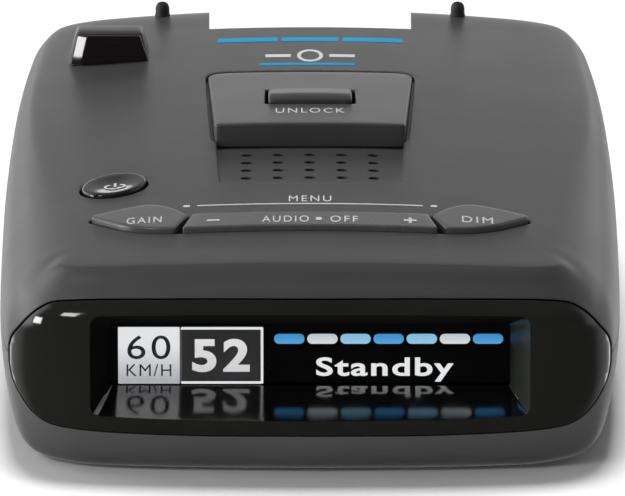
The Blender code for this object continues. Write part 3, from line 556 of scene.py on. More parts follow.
HOUSING = moulded("housing_soft_touch", grey(0.036), grey(0.039), 0.4, 9, 0.35)
BASE = moulded("base_textured_black", (0.068, 0.068, 0.069), (0.077, 0.077, 0.078), 0.44, 6, 0.6)
KEYS = moulded("key_satin_black", (0.05, 0.05, 0.051), (0.06, 0.06, 0.061), 0.28, 9, 0.25, 0.25)
# Recess walls get lit and shaded copies of one dark plastic. The lighter greenish copy is painted light and
# painted reflection on the right wall; the near-black copy with its specular turned off is painted shade on
# the left wall and the ceiling.
RECESS_PAINTED_LIGHT = moulded("recess_painted_light", (0.03, 0.034, 0.028), (0.04, 0.045, 0.036), 0.45, 6, 0.3, 0.15)
RECESS_PAINTED_SHADE = moulded("recess_painted_shade", grey(0.006), grey(0.009), 0.6, 6, 0.3, 0.15,
                 Specular_IOR_Level=0.0)
INNER = moulded("moulded_black", (0.014, 0.014, 0.015), (0.025, 0.025, 0.026), 0.5, 4, 0.5, 0.15)


def make_gloss(name, dark, light, roughness, edge=0.2, **sockets):
    """Piano black plastic with faint flow mottling and almost no grain."""
    made = Finish(name, dark, roughness, **sockets)
    made.tint(made.noise(0.06, 4), dark, light)
    made.rough(made.noise(0.2, 3), roughness - 0.015, roughness + 0.025)
    made.grain(made.noise(0.35, 2), 0.05, 0.02, edge)
    return made.material


GLOSS = make_gloss("gloss_black", (0.0095, 0.0095, 0.009), (0.0125, 0.0125, 0.0115), 0.08)
MIRROR = make_gloss("recess_floor_gloss", grey(0.005), grey(0.007), 0.1, 0.2,
                    Specular_IOR_Level=1.0)
LENS_GLOSS = make_gloss("lens_gloss_black", grey(0.004), (0.009, 0.006, 0.006), 0.06, 0.3)
RUBBER = moulded("rubber_black", grey(0.012), grey(0.022), 0.55, 3, 0.5, 0.1)
STEEL = metal("zinc_plated_steel", (0.42, 0.42, 0.44), (0.66, 0.66, 0.68), 0.3, (1, 12, 1))
CAST = metal("cast_zinc", (0.4, 0.4, 0.39), (0.62, 0.62, 0.6), 0.42, (1, 1, 1), 0.8)
GREEN_BOARD = board("board_green", (0.012, 0.11, 0.045), (0.05, 0.24, 0.1))
CREAM_BOARD = board("microwave_laminate", (0.62, 0.58, 0.48), (0.7, 0.45, 0.2))
RIBBON = moulded("ribbon_film", (0.35, 0.14, 0.03), (0.5, 0.24, 0.05), 0.35, 1.5, 0.3, 0.0)
CHIP = moulded("chip_package", (0.012, 0.012, 0.013), (0.028, 0.028, 0.03), 0.4, 5, 0.5, 0.1)
SLEEVE = moulded("capacitor_sleeve", (0.02, 0.03, 0.1), (0.04, 0.055, 0.17), 0.3, 1, 0.2, 0.1)
TAN = moulded("connector_tan", (0.45, 0.39, 0.29), (0.58, 0.52, 0.4), 0.45, 3, 0.3, 0.1)
FERRITE = moulded("ferrite", (0.045, 0.045, 0.047), grey(0.09), 0.6, 2, 0.8, 0.2)
PAPER = moulded("paper_cone", (0.025, 0.025, 0.026), (0.06, 0.058, 0.055), 0.85, 1.6, 1.0, 0.0)
FOAM = moulded("foam_gasket", grey(0.02), grey(0.05), 0.95, 1.4, 1.0, 0.0)
RESIN = make_gloss("infrared_resin", (0.03, 0.004, 0.004), (0.07, 0.01, 0.012), 0.15)
PRINT = moulded("printed_white", grey(0.42), grey(0.5), 0.5, 6, 0.3, 0.0)
PRINT_BLUE = moulded("printed_blue", (0.0, 0.2, 0.36), (0.0, 0.24, 0.42), 0.5, 6, 0.3, 0.0,
                     Specular_IOR_Level=0.1)
PRINT_BLACK = moulded("printed_black", grey(0.02), grey(0.03), 0.5, 6, 0.3, 0.0)
SILVER = metal("silver_film", grey(0.5), grey(0.68), 0.4, (8, 1, 1), 1)
WINDOW = make_gloss("infrared_window", (0.004, 0.003, 0.003), (0.007, 0.004, 0.004), 0.07)
SMOKED = make_gloss("smoked_window", (0.82, 0.82, 0.83), grey(0.86), 0.02, 0.0,
                    Transmission_Weight=1.0, IOR=1.3, Specular_IOR_Level=0.0)
PANEL = make_gloss("display_glass", (0.0015, 0.0015, 0.0018), (0.0025, 0.0025, 0.003), 0.12, 0.0,
                   Specular_IOR_Level=0.0)


# ---- case

def bezel_curve(knots):
    """One edge of the bezel's front view, from the middle to the side."""
    knots = [np.array(p, float) for p in knots]
    return [tuple(along(knots, i / BEZEL_STEPS)) for i in range(BEZEL_STEPS + 1)]


def bezel_prism(name, gap):
    """The bezel's front view run back through the case."""
    low, high = bezel_curve(BEZEL_BOTTOM), bezel_curve(BEZEL_TOP)
    right = low + high[::-1]
    outline = right + [(-x, z) for x, z in right[-2:0:-1]]
    outline = grow(spaced(outline, 1.5), gap)
    bm = bmesh.new()
    tube(bm, [[bm.verts.new((x * MM, y * MM, z * MM)) for x, z in outline] for y in BEZEL_CUT_Y])
    return finish(bm, name)


CLEAR_ABOVE = 6                 # how far a cutter stands over the surface


def well(name, outline, floor, surface, lip):
    """Cutter for an opening whose upper rim is rounded into the surface."""
    low_at, wide = height_of(floor), grow(outline, lip * 1.6)
    levels = [(outline, low_at, 0)]
    for k in range(5):
        a = math.pi / 2 * k / 4
        levels.append((grow(outline, lip * (1 - math.cos(a))), surface, lip * (math.sin(a) - 1)))
    levels += [(wide, surface, 0.4), (wide, surface, CLEAR_ABOVE)]
    bm = bmesh.new()
    made = [lay(bm, *level) for level in levels]
    bridge(bm, made)
    middle = middle_of(outline)
    for ring, at, lift in ((made[0], low_at, 0), (made[-1], surface, CLEAR_ABOVE)):
        rings = [ring]
        for share in (0.3, 0.6, 0.85):
            rings.append(lay(bm, [Vector(p).lerp(middle, share) for p in outline], at, lift))
        bridge(bm, rings)
        close_ring(bm, rings[-1], middle, at, lift)
    return finish(bm, name)


def plate_outline(grown=0.0):
    """Cover plate seen from above, with rounded rear corners."""
    (front, rear), front_y, rear_y = PLATE_HALF, PLATE_FRONT_Y, PLATE_REAR_Y + 0.2
    corners = [(-front, front_y), (front, front_y), (rear, rear_y), (-rear, rear_y)]
    return grow(spaced(rounded(corners, [0.7, 0.7, 3.0, 3.0], 8), 1.2), grown)


def pocket_outline():
    """Speaker pocket in front of the plate, with rounded front corners."""
    front, rear = POCKET_HALF
    corners = [(-front, POCKET_FRONT_Y), (front, POCKET_FRONT_Y), (rear + 0.1, PLATE_FRONT_Y + 0.6),
               (-rear - 0.1, PLATE_FRONT_Y + 0.6)]
    return spaced(rounded(corners, [1.6, 1.6, 0.3, 0.3], 8), 1.2)


LEAF_RADII = [0.5, 1.0, 1.2, 1.4, 1.6, 0.5, 0.5, 2.5, 2.0, 0.5]
ROW = [(15.2, -42.6)] + LEAF[1:] + [(-x, y) for x, y in LEAF[:0:-1]] + [(-15.2, -42.6)]
ROW_RADII = [2.5, 2.0] + LEAF_RADII[2:] + LEAF_RADII[:1:-1] + [2.0, 2.5]


def rear_hood():
    """Raised hood behind and beside the rear laser lens, with soft edges."""
    sections = ((HOOD_X, HOOD_Y[0], HOOD_FOOT_Z), (HOOD_TOP_X, HOOD_Y[0], HOOD_TOP_Z),
                (HOOD_TOP_X, HOOD_Y[1], HOOD_TOP_Z), (HOOD_X, HOOD_Y[2], HOOD_FOOT_Z))
    return hull("lens_hood", [(x, y, z) for xs, y, z in sections for x in xs], 0.55)


def lens_corners(gap):
    near, far = LENS_Y
    sections = [(LENS_FOOT_Z - gap, LENS_X), (LENS_TOP_Z + gap, LENS_TOP_X)]
    return [(x, y, z) for z, (left, right) in sections for x in (left - gap, right + gap)
            for y in (near - gap, far + gap)]


def case_shell(name, upper):
    """One shell of the case: outer form, hollowed, cut at the parting line and round the bezel."""
    shell = form(name)
    side = (PARTING_Z + SEAM / 2, 60) if upper else (-10, PARTING_Z - SEAM / 2)
    combine(shell, [block("half", (-60, -90, side[0]), (60, 90, side[1]))], "INTERSECT")
    combine(shell, [inner_form("inside")])
    combine(shell, [bezel_prism("around_bezel", SEAM / 2),
                    block("window_hole", (-WINDOW_X - SEAM, 60, WINDOW_Z[0] - SEAM),
                          (WINDOW_X + SEAM, 80, WINDOW_Z[1] + SEAM))])
    length, centre_z = (8, 18.5) if upper else (11.6, 7.0)
    combine(shell, [drum(f"post_{i}", 3.2, length, (x, y, centre_z)) for i, (x, y) in enumerate(POSTS)],
            "UNION")
    if upper:
        combine(shell, [rear_hood()], "UNION")
        cut_openings(shell)
    else:
        combine(shell, [drum(f"screw_recess_{i}", 2.75, 8, (x, y, 0)) for i, (x, y) in enumerate(POSTS)]
                + [slab("label_recess", spaced(rectangle((-20, 20), (-24, 6), 1.2), 3), -1, 0.6)])
    combine(shell, [slab_x("power_socket_hole", *SOCKET_HOLE),
                    drum("earphone_hole", EARPHONE_R, 12, EARPHONE_AT, "X"),
                    slab_x("service_hole", *SERVICE_HOLE)])
    return shade(shell)


def slab_x(name, ys, zs, low_x, high_x):
    """Rounded rectangular cutter through a side wall."""
    made = slab(name, rectangle(ys, zs, 0.8), low_x, high_x, rings=2)
    made.data.transform(Matrix(((0, 0, 1, 0), (1, 0, 0, 0), (0, 1, 0, 0), (0, 0, 0, 1))))
    return made


def cut_openings(top):
    """Openings of the top shell, in groups whose cutters don't meet."""
    combine(top, [
        well("plate_recess", plate_outline(0.35), lambda x, y: top_z(0, y) - PLATE_SINK, top_z, 0.2),
        well("key_row", grow(spaced(rounded(ROW, ROW_RADII), 1.0), 0.38), 21, top_z, 0.22),
        well("power_opening", oval(POWER_AT, [s + 0.3 for s in POWER_SIZE], POWER_TURN), 21, top_z, 0.3),
        hull("lens_pocket", lens_corners(LENS_GAP)),
        block("notch", (-SLOT_HALF_X, NOTCH_Y, SLOT_FLOOR_Z), (SLOT_HALF_X, 80, 45))])
    combine(top, [
        well("speaker_pocket", pocket_outline(), pocket_z, top_z, 0.2),
        block("release_opening", (-6.1, 9.0, 20), (6.1, 18.9, 40)),
        block("lens_shaft", (-31, 40.6, 20), (-23, 43.4, 28.6))])
    combine(top, [drum(f"hole_{x}_{y}", HOLE_R, 9, (x, y, 28), segments=20)
                  for x in HOLE_COLUMNS for y in HOLE_ROWS])


def make_bezel():
    bezel = form("bezel")
    combine(bezel, [bezel_prism("bezel_front", -SEAM / 2)], "INTERSECT")
    hollow = inner_form("hollow")
    combine(hollow, [block("block", (-BEZEL_BLOCK_X, -90, -5), (BEZEL_BLOCK_X, BEZEL_BACK_Y, 40))])
    combine(bezel, [hollow])
    combine(bezel, [recess()])
    combine(bezel, [block("window_seat", (-27, RECESS_Y[1] - 0.3, 7.9), (27, BEZEL_CUT_Y[1], 19.5))])
    place(shade(bezel, 24), "case", GLOSS, "gloss", "front_bezel")
    for recess_gloss_and_painted_light in (MIRROR, RECESS_PAINTED_LIGHT, RECESS_PAINTED_SHADE):
        bezel.data.materials.append(recess_gloss_and_painted_light)
    # Recess faces by direction: the floor keeps a real gloss, the right wall gets painted light, and the
    # left wall and the ceiling get painted shade.
    for face in bezel.data.polygons:
        x, y, z = face.center / MM
        inside_x, inside_z = abs(x) < RECESS_X, RECESS_Z[0] < z < RECESS_Z[1]
        if inside_x and inside_z and -69 < y < RECESS_Y[1] + 0.5:
            if face.normal.z > 0.75:
                face.material_index = 1
            elif face.normal.x < -0.5:
                face.material_index = 2
            elif face.normal.x > 0.5 or face.normal.z < -0.5:
                face.material_index = 3


def recess():
    """Display recess: a loft between two rounded rectangles, wider and with rounder corners towards its
    mouth.
    """
    bm = bmesh.new()
    (near, far), (low, high), (out_low, out_high) = RECESS_Y, SCREEN_Z, RECESS_Z

    def section(y, half_x, zs, radius):
        return vertices(bm, [(x, y, z) for x, z in rectangle((-half_x, half_x), zs, radius, 8)])

    rings = [section(far - 0.4, SCREEN_X, (low, high), 0.55)]
    for share in (0.25, 0.5, 0.75, 1):
        blend = [a + (b - a) * share for a, b in ((far, near), (SCREEN_X, RECESS_X), (low, out_low),
                                                  (high, out_high))]
        rings.append(section(blend[0], blend[1], blend[2:], 0.55 + 1.0 * share))
    rings.insert(0, section(far + 1, SCREEN_X, (low, high), 0.55))
    tube(bm, rings)
    return finish(bm, "recess")


def make_windshield_window():
    window = form("radar_window")
    outline = rectangle((-WINDOW_X, WINDOW_X), WINDOW_Z, 0.8)
    combine(window, [wall_slab("window_region", outline, 60, 80)], "INTERSECT")
    combine(window, [inner_form("inside_form")])
    place(shade(window), "case", WINDOW, "gloss", "windshield_window")


# ---- top pieces

def make_plate():
    """Cover plate over the bracket slot, with a rolled rim and the opening of the release button."""
    plate = slab("cover_plate", plate_outline(), lambda x, y: top_z(0, y) - PLATE_SINK + 0.15, plate_z,
                 0.35, rings=12, centre=(0, 14))
    opening = spaced(rectangle((-5.95, 5.95), (9.1, 18.8), 0.5), 1.0)
    combine(plate, [well("release_well", opening, 20, plate_z, 0.2)])
    place(shade(plate), "case", HOUSING, "housing", "mount_cover")


def make_release():
    """Release button: a crowned cap, its flange under the plate and its stem."""
    (near, far), half = RELEASE_Y, RELEASE_HALF_X
    outline = spaced(rectangle((-half, half), (near, far), [0.6, 0.6, 0.9, 0.9]), 0.7)
    crest = near + RELEASE_CREST

    def crown(x, y):
        rise = RELEASE_RISE if y < crest else RELEASE_RISE - 0.7 * (y - crest) / (far - crest)
        bow = 0.12 * (x / half) ** 2
        return plate_z(0, y) + rise - bow - 0.35 * max(0, (crest - y) / RELEASE_CREST) ** 2

    button = slab("release_catch_button", outline, 25.4, crown, 0.4, rings=10)
    combine(button, [slab("flange", rectangle((-6.9, 6.9), (8.3, 18.6), 0.5), 25.0, 26.1)], "UNION")
    combine(button, [block("stem", (-4, 11, 21.1), (4, 17, 25.6))], "UNION")
    place(shade(button), "release_button", HOUSING, "housing", "release_button")


def make_key(name, node, outline, stems, flange_x, rise=KEY_RISE, edge=KEY_EDGE, dish=0.0, finish_of=KEYS):
    """A key cap on the case's crown, with its flange and its stems."""
    cap = slab(name, outline, CAP_FOOT_Z, lambda x, y: top_z(x, y) + rise, edge, dish, rings=10)
    flange = slab("flange", grow(outline, 0.9), *FLANGE_Z, rings=2)
    combine(flange, [block("reach", (flange_x[0], -60, 0), (flange_x[1], 0, 60))], "INTERSECT")
    combine(cap, [flange], "UNION")
    combine(cap, [drum(f"stem_{i}", 1.4, STEM_TOP_Z - low, (x, y, (STEM_TOP_Z + low) / 2), segments=24)
                  for i, (x, y, low) in enumerate(stems)], "UNION")
    return place(shade(cap), node, finish_of, "gloss" if finish_of == GLOSS else "housing", node)


def make_keys():
    leaf = spaced(rounded(LEAF, LEAF_RADII, 5), 0.7)
    make_key("left_leaf_key", "sensitivity_key", mirrored(leaf), [(-21, -43, 21.3)], (-40, -17.8))
    make_key("right_leaf_key", "brightness_key", leaf, [(21, -43, 21.3)], (17.8, 40))
    bar = spaced(rounded(BAR, 0.5, 5), 0.8)
    rocker = make_key("volume_bar", "volume_rocker", bar, [(x, -45.8, 21.6) for x in (-11, 11)],
                      (-14.2, 14.2))
    combine(rocker, [block("rocker_relief", (-3.4, -52, 20), (3.4, -40, CAP_FOOT_Z))])
    make_key("power_button", "power_key", oval(POWER_AT, POWER_SIZE, POWER_TURN), [(*POWER_AT, 21.3)],
             (-40, 0), POWER_RISE, POWER_EDGE, POWER_DISH, GLOSS)


def make_lens():
    """Gloss prism over the rear laser sensor, with a broad polished facet on its left."""
    near, far = LENS_Y
    corners = []
    for z, (left, right) in ((LENS_FOOT_Z, LENS_X), (LENS_TOP_Z + 0.35, LENS_TOP_X)):
        start, end = left - LENS_LIP, right + LENS_LIP
        corners += [(start + LENS_FACET, near - 0.1, z), (start, near + LENS_FACET * 0.75, z),
                    (left, far, z), (right, far, z), (end, near + 0.7, z), (end, near - 0.1, z)]
    lens = hull("laser_lens", corners, 0.18)
    place(shade(lens, 40), "case", LENS_GLOSS, "gloss", "rear_laser_lens")


def make_bumpers():
    """Two domed stops on the rear edge."""
    profile = [(0, 1.95), (0.3, 1.92), (0.55, 1.82), (0.75, 1.64), (0.88, 1.4), (0.95, 1.1), (0.95, 0.5),
               (1.05, 0.0), (0, 0.0)]
    for side, name in ((-1, "left"), (1, "right")):
        x, y = side * BUMPER_AT[0], BUMPER_AT[1]
        stop = turned(f"stop_{name}", profile, (x, y, top_z(x, y)))
        place(shade(stop, 50), "case", RUBBER, "rubber", f"bumper_{name}")


# ---- printing

PRINT_FROM, PRINT_TO = -0.02, 0.03   # printed shapes start under the surface and stand a little proud
INK = 0.015                          # thickness of printed letters
ARC_STEPS = 28
POWER_PRINT_LIFT = 0.06


def lettering(name, words, size, centre, spacing, height_at=None, wall_y=None, bold=0.0):
    """Raised print fitted to a width and height: on top of the case, or on a wall that faces -Y."""
    text = bpy.data.curves.new(name, "FONT")
    text.body = words
    text.size = 1
    text.offset = bold
    text.resolution_u = 6
    text.space_character = spacing
    guide = linked(name, text)
    bpy.context.view_layer.update()
    mesh = bpy.data.meshes.new_from_object(guide.evaluated_get(bpy.context.evaluated_depsgraph_get()))
    drop(guide)
    spots = np.array([v.co[:2] for v in mesh.vertices])
    low, high = spots.min(0), spots.max(0)
    for v in mesh.vertices:
        u, w = ((v.co[k] - low[k]) / (high[k] - low[k]) - 0.5 for k in (0, 1))
        x, y = centre[0] + u * size[0], centre[1] + w * size[1]
        v.co = Vector((x, y, height_at(x, y) + INK) if wall_y is None else (x, wall_y - INK, y)) * MM
    mesh.materials.clear()
    made = linked(name, mesh)
    solid = made.modifiers.new("ink", "SOLIDIFY")
    solid.thickness = INK * MM
    bpy.context.view_layer.update()
    bake(made)
    return made


def swept(name, sections):
    """A strip through four-cornered sections, closed at both ends."""
    bm = bmesh.new()
    tube(bm, [vertices(bm, section) for section in sections])
    return finish(bm, name)


def strip(name, xs, y, width, height_at):
    """A printed bar across the top surface."""
    count = max(2, round(xs[1] - xs[0]))
    sections = []
    for k in range(count + 1):
        x = xs[0] + (xs[1] - xs[0]) * k / count
        near, far = y - width / 2, y + width / 2
        sections.append([(x, at, height_at(x, at) + lift) for at, lift in
                         ((near, PRINT_FROM), (far, PRINT_FROM), (far, PRINT_TO), (near, PRINT_TO))])
    return swept(name, sections)


def arc(name, centre, radius, width, start, end, height_at, stretch=1.0):
    """A printed arc on the top surface, angles in degrees."""
    sections = []
    for k in range(ARC_STEPS + 1):
        a = math.radians(start + (end - start) * k / ARC_STEPS)
        section = []
        for side, lift in ((-1, PRINT_FROM), (1, PRINT_FROM), (1, PRINT_TO), (-1, PRINT_TO)):
            r = radius + side * width / 2
            x, y = centre[0] + r * math.cos(a), centre[1] + r * math.sin(a) * stretch
            section.append((x, y, height_at(x, y) + lift))
        sections.append(section)
    return swept(name, sections)


def key_top(x, y):
    return top_z(x, y) + KEY_RISE


def power_top(x, y):
    """Height of the dished power key."""
    a = math.radians(-POWER_TURN)
    u, v = x - POWER_AT[0], y - POWER_AT[1]
    u, v = u * math.cos(a) - v * math.sin(a), u * math.sin(a) + v * math.cos(a)
    share = 1 - min(1, math.hypot(u / (POWER_SIZE[0] - POWER_EDGE), v / (POWER_SIZE[1] - POWER_EDGE)))
    return top_z(x, y) + POWER_RISE + POWER_PRINT_LIFT - POWER_DISH * math.sin(share * math.pi / 2) ** 1.5


def make_legends():
    words = [("gain_word", "GAIN", (4.4, 2.9), (-20.9, -44.7), key_top, "sensitivity_key"),
             ("dim_word", "DIM", (3.9, 2.9), (21.1, -44.5), key_top, "brightness_key"),
             ("sound_word", "AUDIO", (5.9, 2.9), (-3.1, -46.2), key_top, "volume_rocker"),
             ("quiet_word", "OFF", (3.5, 2.9), (4.3, -46.2), key_top, "volume_rocker"),
             ("menu_word", "MENU", (5.4, 2.8), (0, -33.8), top_z, "case"),
             ("unlock_word", "UNLOCK", (9.0, 3.2), (0, 4.4), plate_z, "case")]
    for name, text, size, centre, height_at, body in words:
        place(lettering(name, text, size, centre, 1.25, height_at), body, PRINT, "label")
    for name, xs, width in (("menu_line", (-14.3, 14.3), 0.45), ("menu_dot_left", (-16.05, -15.25), 0.9),
                            ("menu_dot_right", (15.3, 16.1), 0.9)):
        place(strip(name, xs, -36.35, width, top_z), "case", PRINT, "label")
    for name, xs, width in (("minus_sign", (-13.0, -11.4), 0.65), ("plus_sign_bar", (11.8, 13.4), 0.65),
                            ("plus_sign_stem", (12.42, 12.78), 2.6), ("word_dot", (0.75, 1.45), 1.2)):
        place(strip(name, xs, -46.2, width, key_top), "volume_rocker", PRINT, "label")
    at = (POWER_AT[0] + 0.15, POWER_AT[1] - 1.0)
    place(arc("power_ring", at, 1.25, 0.34, 120, 420, power_top), "power_key", PRINT, "label")
    stroke = strip("power_stroke", (at[0] - 0.16, at[0] + 0.16), at[1] + 1.0, 1.7, power_top)
    place(stroke, "power_key", PRINT, "label")
    place(arc("trim_ring", (0, 40.2), 1.5, 0.5, 0, 360, top_z, stretch=1.9), "case", PRINT, "label")
    for name, xs, y, width, ink in (("trim_bar_left", (-6.0, -2.6), 40.2, 1.5, PRINT),
                                    ("trim_bar_right", (2.6, 6.0), 40.2, 1.5, PRINT),
                                    ("trim_line_left", (-12.5, -4.4), 49.2, 2.2, PRINT_BLUE),
                                    ("trim_line_middle", (-3.8, 3.8), 49.2, 2.2, PRINT_BLUE),
                                    ("trim_line_right", (4.4, 12.5), 49.2, 2.2, PRINT_BLUE),
                                    ("trim_underline", (-6.8, 6.0), 35.6, 1.2, PRINT_BLUE)):
        place(strip(name, xs, y, width, top_z), "case", ink, "label")


# ---- display

PICTURE_Y = -57.47
BOX_Z = (9.55, 16.85)
LIMIT_X, SPEED_X = (-24.0, -16.3), (-16.15, -5.85)
PILL_X, PILL_PITCH, PILL_SIZE, PILL_Z = -4.5, 4.14, (3.8, 1.28), 15.33
PILL_SHADES = "B W L B L W B".split()


def capsule(x, z, size, steps=12):
    """Outline of a bar with half-round ends, from its left end and its middle height."""
    r = size[1] / 2
    ends = ((x + size[0] - r, -90), (x + r, 90))
    return [(at + r * math.cos(math.radians(start + 180 * k / steps)),
             z + r * math.sin(math.radians(start + 180 * k / steps)))
            for at, start in ends for k in range(steps + 1)]


def make_display():
    glass = wall_slab("smoked_pane", rectangle((-26.6, 26.6), (8.3, 19.1), 0.8, 5), -58.7, -57.7)
    place(shade(glass), "case", SMOKED, "smoked", "display_window")
    panel = wall_slab("picture_panel", rectangle((-26.2, 26.2), (8.7, 18.7), 0.5, 5), -57.4, -55.8)
    place(shade(panel), "case", PANEL, "display", "display_panel")
    low, high = BOX_Z
    white = lit("display_white", (0.92, 0.94, 0.95))
    light_box = lit("display_grey_box", (0.93, 0.94, 0.95), (0.5, 0.51, 0.53), (low + 0.5, high - 2.5))
    dark = lit("display_dark", grey(0.018))
    figure = lit("display_figure", grey(0.9), (0.75, 0.75, 0.76), (11.2, 15.2))
    ink = lit("display_ink", (0.012, 0.012, 0.014))
    span = (PILL_Z - 0.6, PILL_Z + 0.5)
    shades = {"B": lit("display_blue", (0.045, 0.32, 0.72), (0.1, 0.42, 0.8), span),
              "L": lit("display_light_blue", (0.26, 0.58, 0.84), (0.35, 0.66, 0.9), span),
              "W": lit("display_pale", (0.6, 0.68, 0.73), (0.8, 0.84, 0.86), span)}
    front = PICTURE_Y
    inset = rectangle((SPEED_X[0] + 0.02, SPEED_X[1] - 0.32), (low + 0.32, high - 0.32), 0.1, 5)
    shapes = [("limit_box", rectangle(LIMIT_X, BOX_Z, 0.15, 5), front, front + 0.05, light_box),
              ("speed_frame", rectangle(SPEED_X, BOX_Z, 0.2, 5), front, front + 0.05, white),
              ("speed_box", inset, front - 0.02, front - 0.005, dark)]
    for i, shade_name in enumerate(PILL_SHADES):
        shapes.append((f"signal_bar_{i + 1}", capsule(PILL_X + i * PILL_PITCH, PILL_Z, PILL_SIZE), front,
                       front + 0.05, shades[shade_name]))
    for name, outline, near, far, finish_of in shapes:
        place(wall_slab(name, outline, near, far), "case", finish_of, "display")
    for name, text, size, centre, bold, spacing, finish_of in (
            ("limit_number", "60", (5.4, 3.05), (-20.15, 14.25), 0.0, 1.15, ink),
            ("limit_unit", "KM/H", (5.6, 1.55), (-20.15, 11.3), 0.0, 1.15, ink),
            ("speed_number", "52", (7.2, 4.3), (-11.15, 13.2), 0.035, 1.2, figure),
            ("mode_word", "Standby", (17.2, 3.15), (9.35, 11.4), 0.022, 1.12, white)):
        place(lettering(name, text, size, centre, spacing, wall_y=front - 0.03, bold=bold), "case",
              finish_of, "display")


# ---- underside and inside

def make_label():
    outline = spaced(rectangle((-LABEL_X, LABEL_X), LABEL_Y, 1.0), 3)
    place(slab("rating_plate", outline, 0.3, 0.55, rings=2), "case", SILVER, "label", "rating_label")
    for name, end, y, width in (("label_heading", 2, 1.5, 1.6), ("label_row_1", 12, -2.2, 0.6),
                                ("label_row_2", 8, -4.6, 0.6), ("label_row_3", 14, -7.0, 0.6),
                                ("label_row_4", 5, -9.4, 0.6), ("label_box", -8, -17.0, 7.0)):
        place(strip(name, (-16, end), y, width, lambda x, y: 0.27), "case", PRINT_BLACK, "label")


CARRIED = {INNER: ["display_carrier", "mute_plunger", "mount_channel", "laser_receiver", "power_jack",
                   "earphone_jack"],
           STEEL: ["release_latch", "latch_bracket", "release_spring", "shield_can", "service_port",
                   "speaker_basket", "main_board_screw_1", "main_board_screw_2", "key_board_screw_left",
                   "key_board_screw_right"]
           + [f"{key}_switch" for key in ("power", "sensitivity", "brightness", "mute", "volume_down",
                                          "volume_up")]
           + [f"case_screw_{end}_{side}" for end in ("front", "rear") for side in ("left", "right")],
           CAST: ["horn_antenna"], GREEN_BOARD: ["main_board", "key_board", "laser_board"],
           CREAM_BOARD: ["microwave_board"], RIBBON: ["display_ribbon"], CHIP: ["processor"],
           SLEEVE: ["power_capacitor"], TAN: ["board_connector"], FERRITE: ["speaker_magnet"],
           PAPER: ["speaker_cone"], FOAM: ["speaker_gasket"], RESIN: ["rear_laser_sensor"]}


def dress_carried_nodes():
    for finish_of, names in CARRIED.items():
        for name in names:
            NODES[name].data.materials.clear()
            NODES[name].data.materials.append(finish_of)


# ---- studio

AIM, VIEW_ELEVATION, VIEW_DISTANCE = (0.3, -62.6, 28.2), 14.276, 1200
PIVOT = (0, -66, 15)
FOCAL, SENSOR = 556.8, 36
FLOOR_HALF = 3000
BACK_LIGHT, BELOW_LIGHT, LEFT_LIGHT, RIGHT_LIGHT, OVER_LIGHT, ROOM_LIGHT = 0.28, 1.0, 1.9, 0.6, 0.3, 0.05


def make_camera():
    lift = math.radians(VIEW_ELEVATION)
    back = Vector((0, -math.cos(lift), math.sin(lift)))
    data = bpy.data.cameras.new("camera")
    camera = linked("camera", data)
    camera.location = (Vector(PIVOT) + back * VIEW_DISTANCE) * MM
    camera.rotation_mode = "QUATERNION"
    camera.rotation_quaternion = (Vector(AIM) * MM - camera.location).to_track_quat("-Z", "Y")
    data.lens, data.sensor_width = FOCAL, SENSOR
    data.clip_start, data.clip_end = 0.05, 20
    bpy.context.scene.camera = camera


def soft_light(name, at, aim, size, power):
    data = bpy.data.lights.new(name, "AREA")
    data.shape = "RECTANGLE"
    data.size, data.size_y = size
    data.energy = power
    lamp = linked(name, data)
    lamp.location = at
    lamp.rotation_mode = "QUATERNION"
    lamp.rotation_quaternion = (Vector(aim) - Vector(at)).to_track_quat("-Z", "Y")
    return lamp


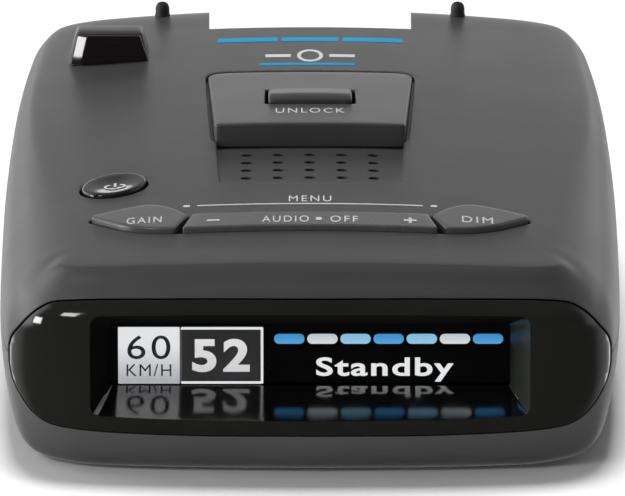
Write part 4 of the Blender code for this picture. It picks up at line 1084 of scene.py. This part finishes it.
def make_studio():
    scene = bpy.context.scene
    scene.view_settings.view_transform = "Standard"
    corners = [(x * FLOOR_HALF, y * FLOOR_HALF) for x, y in ((-1, -1), (1, -1), (1, 1), (-1, 1))]
    floor = slab("floor", spaced(corners, FLOOR_HALF / 5), -40, 0, rings=4)
    paint = Finish("pale_floor", grey(0.86), 0.6)
    paint.tint(paint.noise(0.002, 3), grey(0.84), grey(0.9))
    floor.data.materials.append(paint.material)
    floor.visible_glossy = floor.visible_transmission = False
    world = bpy.data.worlds.new("studio")
    scene.world = world
    world.use_nodes = True
    nodes, links = world.node_tree.nodes, world.node_tree.links
    split = nodes.new("ShaderNodeSeparateXYZ")
    links.new(nodes.new("ShaderNodeTexCoord").outputs["Generated"], split.inputs["Vector"])

    def ramp(value, start, end, low, high):
        return map_range(world.node_tree, value, start, end, low, high, "SMOOTHSTEP")

    def join(operation, a, b):
        made = nodes.new("ShaderNodeMath")
        made.operation = operation
        links.new(a, made.inputs[0])
        links.new(b, made.inputs[1])
        return made.outputs[0]

    x, y, z = split.outputs
    back = join("MULTIPLY", ramp(y, 0.2, 0.7, 0.0, 1.0), ramp(z, 0.35, 0.6, BACK_LIGHT, 0.03))
    below = join("MULTIPLY", ramp(y, 0.75, 0.95, 0.0, BELOW_LIGHT), ramp(z, -0.2, 0.0, 1.0, 0.0))
    sides = join("ADD", ramp(x, -0.8, -0.4, LEFT_LIGHT, 0.0), ramp(x, 0.6, 0.95, 0.0, RIGHT_LIGHT))
    beside = join("MULTIPLY", ramp(y, -0.1, 0.3, 0.0, 1.0), ramp(z, -0.15, 0.0, 0.0, 1.0))
    sides = join("MULTIPLY", sides, beside)
    over = join("MULTIPLY", ramp(z, 0.8, 0.95, 0.0, OVER_LIGHT), ramp(y, 0.1, 0.4, 1.0, 0.1))
    total = join("ADD", join("ADD", back, below), join("ADD", sides, over))
    room = nodes.new("ShaderNodeMath")
    room.inputs[1].default_value = ROOM_LIGHT
    links.new(total, room.inputs[0])
    nodes["Background"].inputs["Color"].default_value = (1, 1, 1, 1)
    links.new(room.outputs[0], nodes["Background"].inputs["Strength"])
    overhead = soft_light("overhead", (0, 0.26, 1.1), (0, 0, 0), (0.32, 0.32), 13)
    behind = soft_light("behind", (0, 0.17, 0.045), (0, 0, 0.04), (0.5, 0.03), 0.06)
    fill = soft_light("fill", (0, -0.9, 0.09), (0, 0, 0.01), (0.9, 0.15), 2.6)
    soft_light("window", (-0.62, -0.62, 0.56), (0, -0.05, 0.02), (0.26, 0.2), 2.3)
    soft_light("side", (-0.52, -0.07, 0.06), (0, 0.04, 0.03), (0.16, 0.1), 0.9)
    overhead.visible_glossy = fill.visible_glossy = False
    behind.visible_camera = False


make_camera()
place(case_shell("top_shell", True), "case", HOUSING, "housing", "top_housing")
place(case_shell("bottom_shell", False), "case", BASE, "base", "bottom_housing")
make_bezel()
make_windshield_window()
make_plate()
make_release()
make_keys()
make_lens()
make_bumpers()
make_display()
make_legends()
make_label()
dress_carried_nodes()
make_studio()
